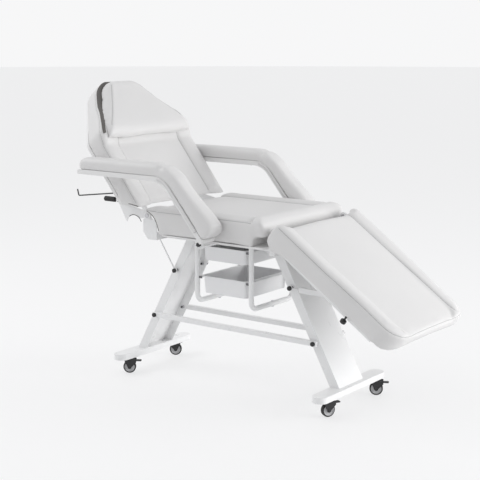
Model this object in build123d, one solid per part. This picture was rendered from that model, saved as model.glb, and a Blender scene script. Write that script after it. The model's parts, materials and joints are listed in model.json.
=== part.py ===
from build123d import *
import math
import os

# Three-section treatment bed: seat, reclining back and lifting legrest on two slanted sheet-steel
# legs, with castered base bars, two sliding trays, lift-off armrests and telescoping stays.
# X runs from the head end to the foot end, Y from the near side to the far side, Z up from the floor.

# Driving dimensions: whole bed, in millimetres and degrees
upholstery_width = 600
seat_top = 772
hinge_x = 334
hinge_drop = 44
back_angle = 51.4
leg_angle = 35
frame_half_span = 150
board_thickness = 14
overrun = 5
contact_gap = 0.3
running_gap = 0.05
hole_gap = 0.2

# Seat
seat_rear_reach = 306
seat_front_x = 304
seat_thickness = 110
seat_recess = 11
seat_corner = 22
front_roll_length = 66
scoop_radius = 88
scoop_centre_reach = 330
scoop_centre_drop = 102
seat_board_thickness = 6
seat_board_inset = 14

# Upholstery shared by all three sections
bolster_width = 92
bolster_shoulder = 26
side_pull = 5
bottom_tuck = 10
middle_crown = 4
board_inset = 7

# Backrest, measured along the panel from the hinge and square to it
back_start = 28
back_length = 642
back_front = 31
back_cushion_thickness = 85
back_recess = 13
back_straight = 378
head_half_width = 128
head_corner = 62
head_swell = 20
head_dip = 9
head_swell_share = 0.58
crown_inset = 14

# Head pillow
pillow_start = 352
pillow_pad_thickness = 24
pillow_thickness = 48
pillow_crown_inset = 64
pillow_neck_round = 20
pillow_bow = 16
pillow_pad_inset = 10

# Legrest, measured along the panel from the hinge and square to it
legrest_start = 20
legrest_end = 662
legrest_top = 42
legrest_cushion_thickness = 68
legrest_recess = 13
legrest_corner = 88
legrest_edge = 40

# Base bars and casters
bar_half_spacing = 520
bar_length = 490
bar_width = 65
bar_height = 25
bar_wall = 3
bar_underside = 68
caster_half_spacing = 184
stem_boss_radius = 13
stem_flange_radius = 14
stem_flange = 3
stem_thread_radius = 5
stem_pin_radius = 4
wheel_radius = 28
wheel_width = 18
rim_radius = 22
rim_dish = 3
hub_radius = 8
axle_radius = 3
trail = 16
cheek_thickness = 3
cheek_gap = 1.5
cheek_foot_radius = 9
housing_radius = 15
housing_bore_depth = 9
bridge_gap = 3
bridge_thickness = 5
pedal_pin_x = 41
pedal_pin_z = 53
pedal_pin_radius = 2
pedal_hub_radius = 4.5
pedal_length = 27
pedal_thickness = 4
caster_headings = {"head_near": 36, "head_far": 216, "foot_near": 62, "foot_far": 30}

# Legs
leg_half_width = 90
leg_depth = 40
leg_wall = 3
leg_foot_overhang = 10
leg_head_overhang = 24.6
leg_plate = 4
base_bolt_inset = 13
base_bolt_half_spacing = 58
top_bolt_half_spacing = 58
lower_bolt_z = 262
upper_bolt_drop = 152

# Seat frame
tube_width = 25
tube_height = 30
tube_wall = 2
end_tube_x = 304
cross_tube_x = 216
hinge_side_inset = 64
hinge_plate = 4
hinge_boss_radius = 16
neck_gap = 2
neck_width = 14
neck_drop = 38
hinge_pin_radius = 5
pin_head_radius = 9
pin_head = 4
arm_plate = 5
drain_radius = 4

# Panel frames
panel_tube = 25
back_frame_end = 430
back_cross_start = 265
strap = 4
legrest_frame_start = 62
legrest_frame_end = 560
legrest_cross_start = 425
arch_radius = 44
arch_along = 8
arch_depth = 86
arm_heel_along = 44
arm_heel_depth = 112

# Bolts through the legs
bolt_radius = 4
cap_radius = 9.5
cap_length = 9
nut_radius = 8
nut_length = 8
rail_size = 20
rail_wall = 1.5
rail_overhang = 12

# Stays: a rod hinged on the leg runs in a guide channel hinged under the panel
stay_eye_radius = 10
stay_eye_thickness = 6
stay_spacer = 11
stay_rod_radius = 3
guide_wall = 2
guide_depth = 12
back_stay_along = 240
back_stay_depth = 90
back_rod_length = 296
back_guide_length = 240
back_guide_room = 3
legrest_stay_along = 350
legrest_stay_depth = 72
legrest_rod_length = 232
legrest_guide_length = 230
legrest_guide_room = 5.2
stay_pin_radius = 5
lug_thickness = 4
lug_radius = 12

# Hangers and trays
hanger_x = 140
hanger_tube_radius = 11
hanger_wall = 1.5
hanger_drop = 256
hanger_bend = 34
hanger_head_radius = 6.5
hanger_head = 2
tray_half_length = 112
tray_half_depth = 148
tray_rim = 12
tray_wall = 2.5
tray_corner = 14
tray_draft = 4
upper_tray_drop = 16
upper_tray_depth = 60
tray_pitch = 128
lower_tray_depth = 72
runner_width = 14
runner_height = 9
runner_wall = 1.5
runner_cap_length = 4

# Armrests
armrest_gap = 2
armrest_width = 90
armrest_rise = 128
armrest_thickness = 66
armrest_rear_reach = 600
armrest_corner_reach = 119
armrest_slope = 50
armrest_bend = 130
armrest_tip_along = 305
armrest_board = 20
armrest_board_inset = 4
armrest_tip_swell = 24
armrest_round = 24
armrest_plate = 3
armrest_plate_width = 34
armrest_plate_length = 90
post_x = 38
post_radius = 7
socket_radius = 11
socket_rise = 16
outrigger_width = 40
outrigger_thickness = 6
knob_radius = 9
knob_length = 13
knob_stem_radius = 3
knob_hollows = 6
hollow_reach_share = 1.25
knob_rise = 5

# Fittings on the backrest and the legrest
holder_along = 177
holder_plate = 3
holder_plate_length = 30
holder_wire_radius = 3
holder_reach = 222
holder_drop = 29
holder_hook = 28
holder_hook_lean = 8
holder_bend = 6
lever_along = 150
lever_depth = 108
lever_lug_radius = 9
lever_lug = 4
lever_thickness = 6
lever_rod_radius = 4
lever_reach = 14
grip_radius = 11
grip_length = 62
clamp_knob_along = 440
clamp_knob_inset = 12
clamp_knob_radius = 12
clamp_knob_length = 14
clamp_stub_radius = 4
clamp_stub_length = 16

half_width = upholstery_width / 2
base_bolt_x = bar_half_spacing - base_bolt_inset
bar_top = bar_underside + bar_height
frame_underside = seat_top - seat_thickness - seat_board_thickness - tube_height
frame_top = frame_underside + tube_height
hinge_z = seat_top - hinge_drop
hinge_plate_span = half_width - hinge_side_inset
seat_rear_x = -seat_rear_reach
scoop_centre_x = -scoop_centre_reach
scoop_centre_z = seat_top - scoop_centre_drop
upper_bolt_z = frame_underside - upper_bolt_drop
hanger_bottom = frame_underside - hanger_drop
upper_tray_rim_z = frame_underside - upper_tray_drop
lower_tray_rim_z = upper_tray_rim_z - tray_pitch
back_stay_off = -back_stay_depth
legrest_stay_off = -legrest_stay_depth
lever_off = -lever_depth
armrest_inner = half_width + armrest_gap
armrest_bottom = seat_top + armrest_rise
armrest_rear_x = -armrest_rear_reach
armrest_corner_x = -armrest_corner_reach
socket_bottom = frame_top - outrigger_thickness
socket_top = frame_top + socket_rise
knob_z = frame_top + knob_rise
clamp_knob_side = half_width - clamp_knob_inset
leg_foot_x = bar_half_spacing + leg_foot_overhang
leg_head_x = cross_tube_x + leg_head_overhang
run_per_rise = (leg_foot_x - leg_head_x) / (frame_underside - bar_top)
leg_slope = math.degrees(math.atan(1 / run_per_rise))
leg_level_depth = leg_depth / math.sin(math.radians(leg_slope))
leg_level_wall = leg_wall / math.sin(math.radians(leg_slope))
panel_board_half = half_width - bottom_tuck - board_inset
arm_plate_inner = hinge_plate_span + hinge_plate + contact_gap
arm_plate_outer = arm_plate_inner + arm_plate
back_underside = back_front - back_cushion_thickness - board_thickness
legrest_underside = legrest_top - legrest_cushion_thickness - board_thickness
stay_rod_side = leg_half_width + stay_spacer + stay_eye_thickness / 2


def panel_plane(side, rise):
    """Plane at a panel's hinge: X along the panel away from the hinge, Z square to its front."""
    along = (side * math.cos(math.radians(rise)), 0, math.sin(math.radians(rise)))
    out = (-side * along[2], 0, side * along[0])
    return Plane(origin=(side * hinge_x, 0, hinge_z), x_dir=along, z_dir=out)


back_plane = panel_plane(-1, back_angle)
legrest_plane = panel_plane(1, -leg_angle)


def on_panel(plane, shape):
    """Moves a shape drawn flat at the origin onto its panel."""
    return plane.location * shape


def block(x_low, x_high, y_low, y_high, z_low, z_high):
    """Box between two corners."""
    centre = ((x_low + x_high) / 2, (y_low + y_high) / 2, (z_low + z_high) / 2)
    return Pos(*centre) * Box(x_high - x_low, y_high - y_low, z_high - z_low)


def plate(points, y_low, y_high, radius=0):
    """Outline in the XZ plane, with rounded corners, given a thickness along Y."""
    corners = [(x, y_low, z) for x, z in points]
    if radius:
        outline = FilletPolyline(*corners, radius=radius, close=True)
    else:
        outline = Polyline(*corners, close=True)
    return extrude(make_face(outline), amount=y_high - y_low, dir=(0, 1, 0))


def pin_y(x, z, radius, y_low, y_high):
    """Cylinder along Y."""
    middle = (y_low + y_high) / 2
    return Pos(x, middle, z) * Rot(90, 0, 0) * Cylinder(radius, y_high - y_low)


def pin_z(x, y, radius, z_low, z_high):
    """Upright cylinder."""
    return Pos(x, y, (z_low + z_high) / 2) * Cylinder(radius, z_high - z_low)


def bent_rod(points, radius, bend):
    """Round rod along straight runs joined by bends of one radius."""
    path = FilletPolyline(*points, radius=bend)
    return sweep(Plane(origin=path @ 0, z_dir=path % 0) * Circle(radius), path=path)


def both_sides(shape):
    """A near-side or far-side shape and its mirror image."""
    return [shape, mirror(shape, about=Plane.XZ)]


def both_ends(shape):
    """A head-end or foot-end shape and its mirror image."""
    return [shape, mirror(shape, about=Plane.YZ)]


def group(solids):
    """Separate solids kept together in one node."""
    return Compound(children=list(solids))


def leg_outer_x(z):
    """Distance of a leg's outer face from the bed's middle at a height."""
    return leg_foot_x - (z - bar_top) * run_per_rise


def leg_middle_x(z):
    """Distance of the middle of a leg's side flange from the bed's middle at a height."""
    return leg_outer_x(z) - leg_level_depth / 2


# Base bars


def bar_shell():
    """Pressed bar with round ends and an open underside, with a boss for each caster stem."""
    outer = extrude(SlotOverall(bar_length, bar_width), bar_height)
    inner = extrude(SlotOverall(bar_length - 2 * bar_wall, bar_width - 2 * bar_wall), bar_height - bar_wall)
    bar = outer - inner
    for side in (-1, 1):
        at_stem = Pos(side * caster_half_spacing, 0, (bar_height - bar_wall) / 2)
        bar += at_stem * Cylinder(stem_boss_radius, bar_height - bar_wall)
        bar -= at_stem * Cylinder(stem_thread_radius + hole_gap, bar_height - bar_wall)
        bolt_hole = Cylinder(bolt_radius + hole_gap, bar_height + overrun)
        bar -= Pos(side * base_bolt_half_spacing, base_bolt_inset, bar_height) * bolt_hole
    return bar


def base_bar(end):
    """Base bar lying across the bed under a leg's foot plate."""
    return Pos(end * bar_half_spacing, 0, bar_underside) * Rot(0, 0, end * 90) * bar_shell()


# Legs


def leg():
    """Folded channel, open towards the bed's middle, with a foot plate and a head plate."""
    low = bar_top
    high = frame_underside

    def slanted(inset_x, side):
        points = [
            (leg_outer_x(low) - inset_x, low),
            (leg_outer_x(high) - inset_x, high),
            (leg_outer_x(high) - leg_level_depth - inset_x, high),
            (leg_outer_x(low) - leg_level_depth - inset_x, low),
        ]
        return plate(points, -side, side)

    hollow = slanted(leg_level_wall, leg_half_width - leg_wall)
    foot = block(0, leg_foot_x, -leg_half_width, leg_half_width, low, low + leg_plate)
    head = block(0, leg_foot_x, -leg_half_width, leg_half_width, high - leg_plate, high)
    shape = slanted(0, leg_half_width) - (hollow - foot - head)
    for side in (-1, 1):
        shape -= pin_z(
            base_bolt_x, side * base_bolt_half_spacing, bolt_radius + hole_gap, low, low + leg_plate
        )
        shape -= pin_z(
            cross_tube_x, side * top_bolt_half_spacing, bolt_radius + hole_gap, high - leg_plate, high
        )
        for z in (lower_bolt_z, upper_bolt_z):
            inner = side * (leg_half_width - leg_wall - overrun)
            outer = side * (leg_half_width + overrun)
            ends = sorted((inner, outer))
            shape -= pin_y(leg_middle_x(z), z, bolt_radius + hole_gap, *ends)
    return shape


def side_rail(side):
    """Square tube along the bed between the legs' lower bolts, with closed ends."""
    end_x = leg_middle_x(lower_bolt_z) + rail_overhang
    inner = leg_half_width
    outer = leg_half_width + rail_size
    low = lower_bolt_z - rail_size / 2
    high = lower_bolt_z + rail_size / 2
    rail = block(-end_x, end_x, inner, outer, low, high)
    rail = fillet(rail.edges().filter_by(Axis.X), rail_wall)
    rail -= block(
        -end_x + rail_wall,
        end_x - rail_wall,
        inner + rail_wall,
        outer - rail_wall,
        low + rail_wall,
        high - rail_wall,
    )
    for end in (-1, 1):
        rail -= pin_y(
            end * leg_middle_x(lower_bolt_z),
            lower_bolt_z,
            bolt_radius + hole_gap,
            inner - overrun,
            outer + overrun,
        )
    return rail if side > 0 else mirror(rail, about=Plane.XZ)


# Seat frame


def tube_set(inset):
    """The seat frame's tubes as solid bars, each face drawn in by the inset."""
    low = frame_underside + inset
    high = frame_top - inset
    half = tube_width / 2 - inset
    bars = []
    for side in (-1, 1):
        middle_y = side * frame_half_span
        reach = end_tube_x
        bars.append(block(-reach, reach, middle_y - half, middle_y + half, low, high))
        for x in (end_tube_x, cross_tube_x):
            span = hinge_plate_span - inset if x == end_tube_x else frame_half_span
            bars.append(block(side * x - half, side * x + half, -span, span, low, high))
    return bars


def hinge_plate_rear():
    """Rear hinge plate: a box-like lug behind the seat with a round boss at the pin."""
    inner = end_tube_x - tube_width / 2 - overrun
    heel = hinge_x + hinge_boss_radius + arm_plate + overrun
    low = frame_underside + contact_gap
    points = [
        (-inner, low),
        (-inner, hinge_z - hinge_boss_radius),
        (-heel, hinge_z - hinge_boss_radius),
        (-heel, low + tube_height),
        (-hinge_x, low),
    ]
    body = plate(points, hinge_plate_span, hinge_plate_span + hinge_plate)
    boss = pin_y(
        -hinge_x, hinge_z, hinge_boss_radius, hinge_plate_span, hinge_plate_span + hinge_plate
    )
    neck = plate(
        [
            (-hinge_x - hinge_boss_radius, hinge_z),
            (-hinge_x + hinge_boss_radius, hinge_z),
            (-hinge_x + hinge_boss_radius, frame_top),
            (-hinge_x - hinge_boss_radius, frame_top),
        ],
        hinge_plate_span,
        hinge_plate_span + hinge_plate,
    )
    return body + boss + neck


def hinge_plate_front():
    """Front hinge plate: rises from the end tube into the gap between seat and legrest."""
    tube_outer = end_tube_x + tube_width / 2
    clear_x = seat_front_x + neck_gap
    low = frame_underside + contact_gap
    neck_x = clear_x + neck_width
    points = [
        (end_tube_x - tube_width / 2, low),
        (end_tube_x - tube_width / 2, frame_top - 2 * contact_gap),
        (clear_x, frame_top - 2 * contact_gap),
        (clear_x, hinge_z - hinge_boss_radius),
        (hinge_x - hinge_boss_radius, hinge_z),
        (hinge_x, hinge_z - hinge_boss_radius),
        (neck_x, hinge_z - neck_drop),
        (neck_x, frame_top),
        (tube_outer, low),
    ]
    body = plate(points, hinge_plate_span, hinge_plate_span + hinge_plate)
    boss = pin_y(
        hinge_x, hinge_z, hinge_boss_radius, hinge_plate_span, hinge_plate_span + hinge_plate
    )
    return body + boss


def seat_frame():
    """Welded frame of rectangular tube under the seat, with four hinge plates."""
    frame = sum(tube_set(0)[1:], start=tube_set(0)[0])
    hollow = sum(tube_set(tube_wall)[1:], start=tube_set(tube_wall)[0])
    frame -= hollow
    for side in (-1, 1):
        for end in (-1, 1):
            frame -= pin_z(
                end * cross_tube_x,
                side * top_bolt_half_spacing,
                bolt_radius + hole_gap,
                frame_underside - overrun,
                frame_underside + tube_height / 2,
            )
    for lug in both_sides(hinge_plate_rear()) + both_sides(hinge_plate_front()):
        frame += lug
    for side in (-1, 1):
        for end in (-1, 1):
            low, high = sorted(
                (side * (hinge_plate_span - overrun), side * (hinge_plate_span + hinge_plate + overrun))
            )
            frame -= pin_y(end * hinge_x, hinge_z, hinge_pin_radius + hole_gap, low, high)
    return frame


def hinge_pins():
    """Four pins, each with a head inside its hinge plate and a retaining head outside the arm."""
    pins = []
    for end in (-1, 1):
        x = end * hinge_x
        inner = hinge_plate_span
        outer = arm_plate_outer + contact_gap
        pin = pin_y(x, hinge_z, pin_head_radius, inner - pin_head, inner)
        pin += pin_y(x, hinge_z, hinge_pin_radius, inner - pin_head, outer + pin_head)
        pin += pin_y(x, hinge_z, pin_head_radius, outer, outer + pin_head)
        pins += both_sides(pin)
    return group(pins)


# Bolts


def leg_bolt(end, z, spacer):
    """Bolt along Y with a round cap outside, its shank through the flange and its nut inside."""
    x = end * leg_middle_x(z)
    cap_base = leg_half_width + spacer
    bolt = pin_y(x, z, cap_radius, cap_base, cap_base + cap_length)
    bolt = fillet(bolt.edges().group_by(Axis.Y)[-1], cap_length / 3)
    inside = leg_half_width - leg_wall
    return bolt + pin_y(x, z, bolt_radius, inside - nut_length - bolt_radius, cap_base)


def frame_bolts():
    """Capped bolts of the rails and the stays."""
    bolts = []
    for end in (-1, 1):
        bolts += both_sides(leg_bolt(end, lower_bolt_z, rail_size))
        stay_bolt = leg_bolt(end, upper_bolt_z, stay_spacer + stay_eye_thickness + 2 * contact_gap)
        x = end * leg_middle_x(upper_bolt_z)
        shoulder = stay_spacer
        stay_bolt += pin_y(
            x, upper_bolt_z, bolt_radius + guide_wall, leg_half_width, leg_half_width + shoulder
        )
        bolts += both_sides(stay_bolt)
    return group(bolts)


def leg_nuts():
    """Round nuts on the leg bolts, inside the flanges."""
    nuts = []
    inside = leg_half_width - leg_wall
    for end in (-1, 1):
        for z in (lower_bolt_z, upper_bolt_z):
            x = end * leg_middle_x(z)
            nut = pin_y(x, z, nut_radius, inside - nut_length, inside)
            nut -= pin_y(x, z, bolt_radius + hole_gap, inside - nut_length - overrun, inside + overrun)
            nuts += both_sides(nut)
    return group(nuts)


def hex_bolt(x, y, face_z, shank_end_z):
    """Hexagon bolt whose head rests on a face and whose shank runs up or down from it."""
    up = 1 if shank_end_z > face_z else -1
    head = extrude(RegularPolygon(2 * bolt_radius, 6), bolt_radius + contact_gap)
    head = Pos(x, y, face_z if up < 0 else face_z - bolt_radius - contact_gap) * head
    ends = sorted((face_z, shank_end_z))
    return head + pin_z(x, y, bolt_radius, *ends)


def hanger_bolt(end):
    """Bolt down through a hanger's bottom, with a flat round head above and below."""
    x = end * hanger_x
    low = hanger_bottom - hanger_tube_radius
    high = hanger_bottom + hanger_tube_radius
    bolt = pin_z(x, 0, bolt_radius, low, high)
    bolt += pin_z(x, 0, hanger_head_radius, high, high + hanger_head)
    return bolt + pin_z(x, 0, hanger_head_radius, low - hanger_head, low)


def plate_bolts():
    """Bolts of the legs' foot plates and head plates, and of the hangers."""
    bolts = [hanger_bolt(end) for end in (-1, 1)]
    for end in (-1, 1):
        for side in (-1, 1):
            bolts.append(
                hex_bolt(
                    end * base_bolt_x,
                    side * base_bolt_half_spacing,
                    bar_top + leg_plate,
                    bar_top - bar_height + bar_wall,
                )
            )
            bolts.append(
                hex_bolt(
                    end * cross_tube_x,
                    side * top_bolt_half_spacing,
                    frame_underside - leg_plate,
                    frame_underside + tube_height / 2,
                )
            )
    return group(bolts)


# Hangers, runners and trays


def hanger_path(radius):
    """Round bar bent to a U across the bed."""
    return bent_rod(
        [
            (0, -frame_half_span, frame_underside),
            (0, -frame_half_span, hanger_bottom),
            (0, frame_half_span, hanger_bottom),
            (0, frame_half_span, frame_underside),
        ],
        radius,
        hanger_bend,
    )


def hanger(end):
    """Bent tube that hangs from the seat frame, with a bolt hole through its bottom."""
    tube = hanger_path(hanger_tube_radius) - hanger_path(hanger_tube_radius - hanger_wall)
    tube -= pin_z(
        0,
        0,
        bolt_radius + hole_gap,
        hanger_bottom - 2 * hanger_tube_radius,
        hanger_bottom + 2 * hanger_tube_radius,
    )
    return Pos(end * hanger_x, 0, 0) * tube


def runner(rim_z):
    """Angle strip along Y, welded to a hanger's two legs, with its ledge under the tray's rim."""
    face_x = hanger_x - hanger_tube_radius
    ledge_top = rim_z - tray_wall - contact_gap
    length = frame_half_span
    upright = block(
        face_x - runner_wall, face_x, -length, length, ledge_top - runner_height, ledge_top
    )
    ledge = block(
        face_x - runner_width, face_x, -length, length, ledge_top - runner_wall, ledge_top
    )
    return upright + ledge


def tray_runners():
    """Two runners for each tray."""
    strips = []
    for rim_z in (upper_tray_rim_z, lower_tray_rim_z):
        strips += both_ends(runner(rim_z))
    return group(strips)


def runner_caps():
    """Plastic caps on the ends of the runners, below the ledge's top."""
    caps = []
    face_x = hanger_x - hanger_tube_radius
    for rim_z in (upper_tray_rim_z, lower_tray_rim_z):
        top = rim_z - tray_wall - contact_gap
        cap = block(
            face_x - runner_width,
            face_x,
            frame_half_span,
            frame_half_span + runner_cap_length,
            top - runner_height,
            top,
        )
        for piece in both_ends(cap):
            caps += both_sides(piece)
    return group(caps)


def tray(rim_z, depth):
    """Open tray with drafted walls, rounded corners and a rim round its mouth."""

    def tub(inset, low, high):
        wide = RectangleRounded(
            2 * (tray_half_length - inset), 2 * (tray_half_depth - inset), tray_corner - inset
        )
        narrow = RectangleRounded(
            2 * (tray_half_length - inset - tray_draft),
            2 * (tray_half_depth - inset - tray_draft),
            tray_corner - inset,
        )
        return loft([Pos(0, 0, low) * narrow, Pos(0, 0, high) * wide])

    rim = extrude(
        RectangleRounded(2 * (tray_half_length + tray_rim), 2 * (tray_half_depth + tray_wall), tray_corner),
        tray_wall,
    )
    bottom = rim_z - depth
    shape = tub(0, bottom, rim_z) + Pos(0, 0, rim_z - tray_wall) * rim
    shape -= tub(tray_wall, bottom + tray_wall, rim_z)
    return shape


# Upholstery


def section_solid(half, low, high, recess, start, end, bolster):
    """Cross-section of a cushion carried along X: drawn-in sides, crowned bolsters, crowned middle."""
    foot = half - bottom_tuck
    shoulder = high - bolster_shoulder
    inner = half - bolster
    valley = high - recess
    edges = [Line((0, -foot, low), (0, foot, low))]
    for side in (1, -1):
        waist = half - bottom_tuck / 2 - side_pull
        edges.append(
            ThreePointArc(
                (0, side * foot, low), (0, side * waist, (low + shoulder) / 2), (0, side * half, shoulder)
            )
        )
        edges.append(
            ThreePointArc(
                (0, side * half, shoulder),
                (0, side * (half - bolster_shoulder / 2), high - bolster_shoulder / 4),
                (0, side * (half - bolster / 2), high),
            )
        )
        edges.append(Line((0, side * (half - bolster / 2), high), (0, side * inner, valley)))
    edges.append(ThreePointArc((0, inner, valley), (0, 0, valley + middle_crown), (0, -inner, valley)))
    face = make_face(edges)
    return Pos(start, 0, 0) * extrude(face, amount=end - start, dir=(1, 0, 0))


def seat_side():
    """Side outline of the seat: rounded top edges and a scooped rear end."""
    low = seat_top - seat_thickness
    points = [
        (seat_rear_x, low),
        (seat_rear_x, seat_top),
        (seat_front_x, seat_top),
        (seat_front_x, low),
    ]
    radii = [0, seat_corner, seat_corner, seat_corner / 2]
    body = plate(points, -half_width, half_width, radii)
    scoop = pin_y(scoop_centre_x, scoop_centre_z, scoop_radius, -upholstery_width, upholstery_width)
    return body - scoop


def seat_cushion():
    """Seat cushion with side bolsters and a roll along its front edge."""
    low = seat_top - seat_thickness
    body = section_solid(
        half_width, low, seat_top, seat_recess, seat_rear_x - overrun, seat_front_x + overrun, bolster_width
    )
    roll_start = seat_front_x - front_roll_length
    roll = plate(
        [
            (roll_start, seat_top - seat_recess),
            (roll_start + seat_recess, seat_top),
            (seat_front_x, seat_top),
            (seat_front_x, low),
            (roll_start, low),
        ],
        -half_width + bolster_shoulder,
        half_width - bolster_shoulder,
    )
    return (body + roll) & seat_side()


def seat_board():
    """Board under the seat cushion, cut back from its edges and from the scoop."""
    high = seat_top - seat_thickness
    rear = scoop_centre_x + scoop_radius + seat_board_inset
    side = half_width - bottom_tuck - seat_board_inset / 2
    board = block(
        rear, seat_front_x - seat_board_inset / 2, -side, side, high - seat_board_thickness, high
    )
    return fillet(board.edges().filter_by(Axis.Z), seat_board_inset)


def back_outline(inset):
    """Plan of the backrest: straight sides, then a taper to a rounded head."""
    side = half_width - inset
    top = back_start + back_length - inset
    shoulder = back_start + back_straight
    head = head_half_width - inset
    points = [
        (back_start - overrun - half_width, -side),
        (back_start - overrun - half_width, side),
        (shoulder, side),
        (top, head),
        (top, -head),
        (shoulder, -side),
    ]
    radii = [0, 0, head_corner, head_corner, head_corner, head_corner]
    return make_face(FilletPolyline(*points, radius=radii, close=True))


def back_end_cut():
    """Wedge that leaves the backrest's lower end level with the floor at rest."""
    lean = 1 / math.tan(math.radians(back_angle))
    deep = 2 * half_width
    points = [
        (back_start - deep * lean, back_front + deep),
        (back_start + deep * lean, back_front - deep),
        (-2 * deep, back_front - deep),
        (-2 * deep, back_front + deep),
    ]
    return plate(points, -upholstery_width, upholstery_width)


def head_front(rise, end_inset):
    """Side line of the head's front, raised by a distance: it swells behind the neck, then dips."""
    top = back_start + back_length
    neck = back_start + back_straight - head_corner
    level = back_front + rise
    middle = neck + (top - neck) * head_swell_share
    crown = top - end_inset
    return [
        ThreePointArc((neck, 0, level), ((neck + middle) / 2, 0, level + head_swell), (middle, 0, level)),
        ThreePointArc(
            (middle, 0, level),
            ((middle + crown) / 2, 0, level - head_dip),
            (crown, 0, level - head_dip / 2),
        ),
    ]


def quarter_round(start, end):
    """Arc that leaves a side line's end along X and turns a quarter down to another point."""
    turn = math.sin(math.radians(45))
    middle = (start.X + turn * (end.X - start.X), 0, end.Z + turn * (start.Z - end.Z))
    return ThreePointArc(start, middle, end)


def back_cushion():
    """Backrest cushion: bolstered body and a head section whose front edge swells and dips."""
    low = back_front - back_cushion_thickness
    high = back_front
    top = back_start + back_length
    neck = back_start + back_straight - head_corner
    body = section_solid(half_width, low, high, back_recess, -half_width, top, bolster_width)
    front = head_front(0, crown_inset)
    crown = front[-1] @ 1
    end = [
        ThreePointArc(crown, (top, 0, (low + high) / 2), (crown.X, 0, low)),
        Line((crown.X, 0, low), (neck, 0, low)),
        Line((neck, 0, low), (neck, 0, high)),
    ]
    head = extrude(make_face(front + end), amount=half_width, dir=(0, 1, 0), both=True)
    body = split_off(body, neck) + head
    plan = extrude(Pos(0, 0, low - overrun) * back_outline(0), back_cushion_thickness + 2 * head_swell)
    return on_panel(back_plane, (body & plan) - back_end_cut())


def split_off(body, x):
    """The part of a body that lies below a place along X."""
    reach = upholstery_width
    return body & block(-reach, x, -reach, reach, -reach, reach)


def back_board():
    """Board behind the backrest cushion."""
    low = back_underside
    board = extrude(Pos(0, 0, low) * back_outline(bottom_tuck + board_inset), board_thickness)
    return on_panel(back_plane, board - back_end_cut())


def pillow_plan(inset):
    """Plan of the pillow: the head's outline above a lower edge that bows towards the seat."""
    start = back_start + pillow_start + inset
    top = back_start + back_length
    lower = [
        ThreePointArc((start, -half_width, 0), (start - pillow_bow, 0, 0), (start, half_width, 0)),
        Line((start, half_width, 0), (top, half_width, 0)),
        Line((top, half_width, 0), (top, -half_width, 0)),
        Line((top, -half_width, 0), (start, -half_width, 0)),
    ]
    return make_face(lower) & back_outline(inset)


def pillow_side(low, high, front_inset):
    """Side face of a pillow's piece between two distances above the head's front."""
    rear = head_front(low, crown_inset)
    front = head_front(high, front_inset)
    start = Line(rear[0] @ 0, front[0] @ 0)
    if front_inset > crown_inset:
        end = quarter_round(front[-1] @ 1, rear[-1] @ 1)
    else:
        end = Line(front[-1] @ 1, rear[-1] @ 1)
    return make_face([start, *front, end, *rear])


def head_pillow():
    """Pillow that follows the head's front, on a thinner pad between it and the backrest."""
    pieces = []
    for low, high, front_inset, inset in (
        (contact_gap, pillow_pad_thickness - contact_gap, crown_inset, pillow_pad_inset),
        (pillow_pad_thickness, pillow_pad_thickness + pillow_thickness, pillow_crown_inset, 0),
    ):
        side = pillow_side(low, high, front_inset)
        body = extrude(side, amount=half_width, dir=(0, 1, 0), both=True)
        plan = extrude(pillow_plan(inset), upholstery_width, both=True)
        pieces.append(body & plan)
    pad, pillow = pieces
    neck_edge = pillow.edges().group_by(Axis.X)[0].sort_by(Axis.Z)[-1]
    pillow = fillet(neck_edge, pillow_neck_round)
    return group([on_panel(back_plane, pad), on_panel(back_plane, pillow)])


def legrest_outline(inset):
    """Plan of the legrest: square at the hinge, rounded corners at the foot."""
    side = half_width - inset
    start = legrest_start
    end = legrest_end - inset
    points = [(start, -side), (start, side), (end, side), (end, -side)]
    radii = [0, 0, legrest_corner, legrest_corner]
    return make_face(FilletPolyline(*points, radius=radii, close=True))


def legrest_cushion():
    """Legrest cushion: bolstered, with a rounded underside edge at the foot."""
    high = legrest_top
    low = legrest_top - legrest_cushion_thickness
    body = section_solid(
        half_width, low, high, legrest_recess, legrest_start - overrun, legrest_end + overrun, bolster_width
    )
    side = plate(
        [(legrest_start, low), (legrest_start, high), (legrest_end, high), (legrest_end, low)],
        -half_width,
        half_width,
        [0, legrest_edge / 4, legrest_edge / 4, legrest_edge],
    )
    plan = extrude(Pos(0, 0, low - overrun) * legrest_outline(0), legrest_cushion_thickness + 2 * overrun)
    return on_panel(legrest_plane, body & side & plan)


def legrest_board():
    """Board under the legrest cushion."""
    inset = bottom_tuck + board_inset
    outline = legrest_outline(inset)
    board = extrude(Pos(0, 0, legrest_underside) * outline, board_thickness)
    keep = block(
        legrest_start,
        legrest_end - legrest_edge,
        -half_width,
        half_width,
        legrest_underside,
        legrest_underside + board_thickness,
    )
    return on_panel(legrest_plane, board & keep)


# Panel frames


def panel_tube_bar(x_low, x_high, y_low, y_high, face):
    """Square tube behind a panel's board, hollow along its longer side."""
    outer = block(x_low, x_high, y_low, y_high, face - panel_tube, face)
    if x_high - x_low > y_high - y_low:
        ends = (overrun, 0)
    else:
        ends = (0, overrun)
    wall_x = -ends[0] if ends[0] else tube_wall
    wall_y = -ends[1] if ends[1] else tube_wall
    inner = block(
        x_low + wall_x,
        x_high - wall_x,
        y_low + wall_y,
        y_high - wall_y,
        face - panel_tube + tube_wall,
        face - tube_wall,
    )
    return outer, inner


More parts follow.
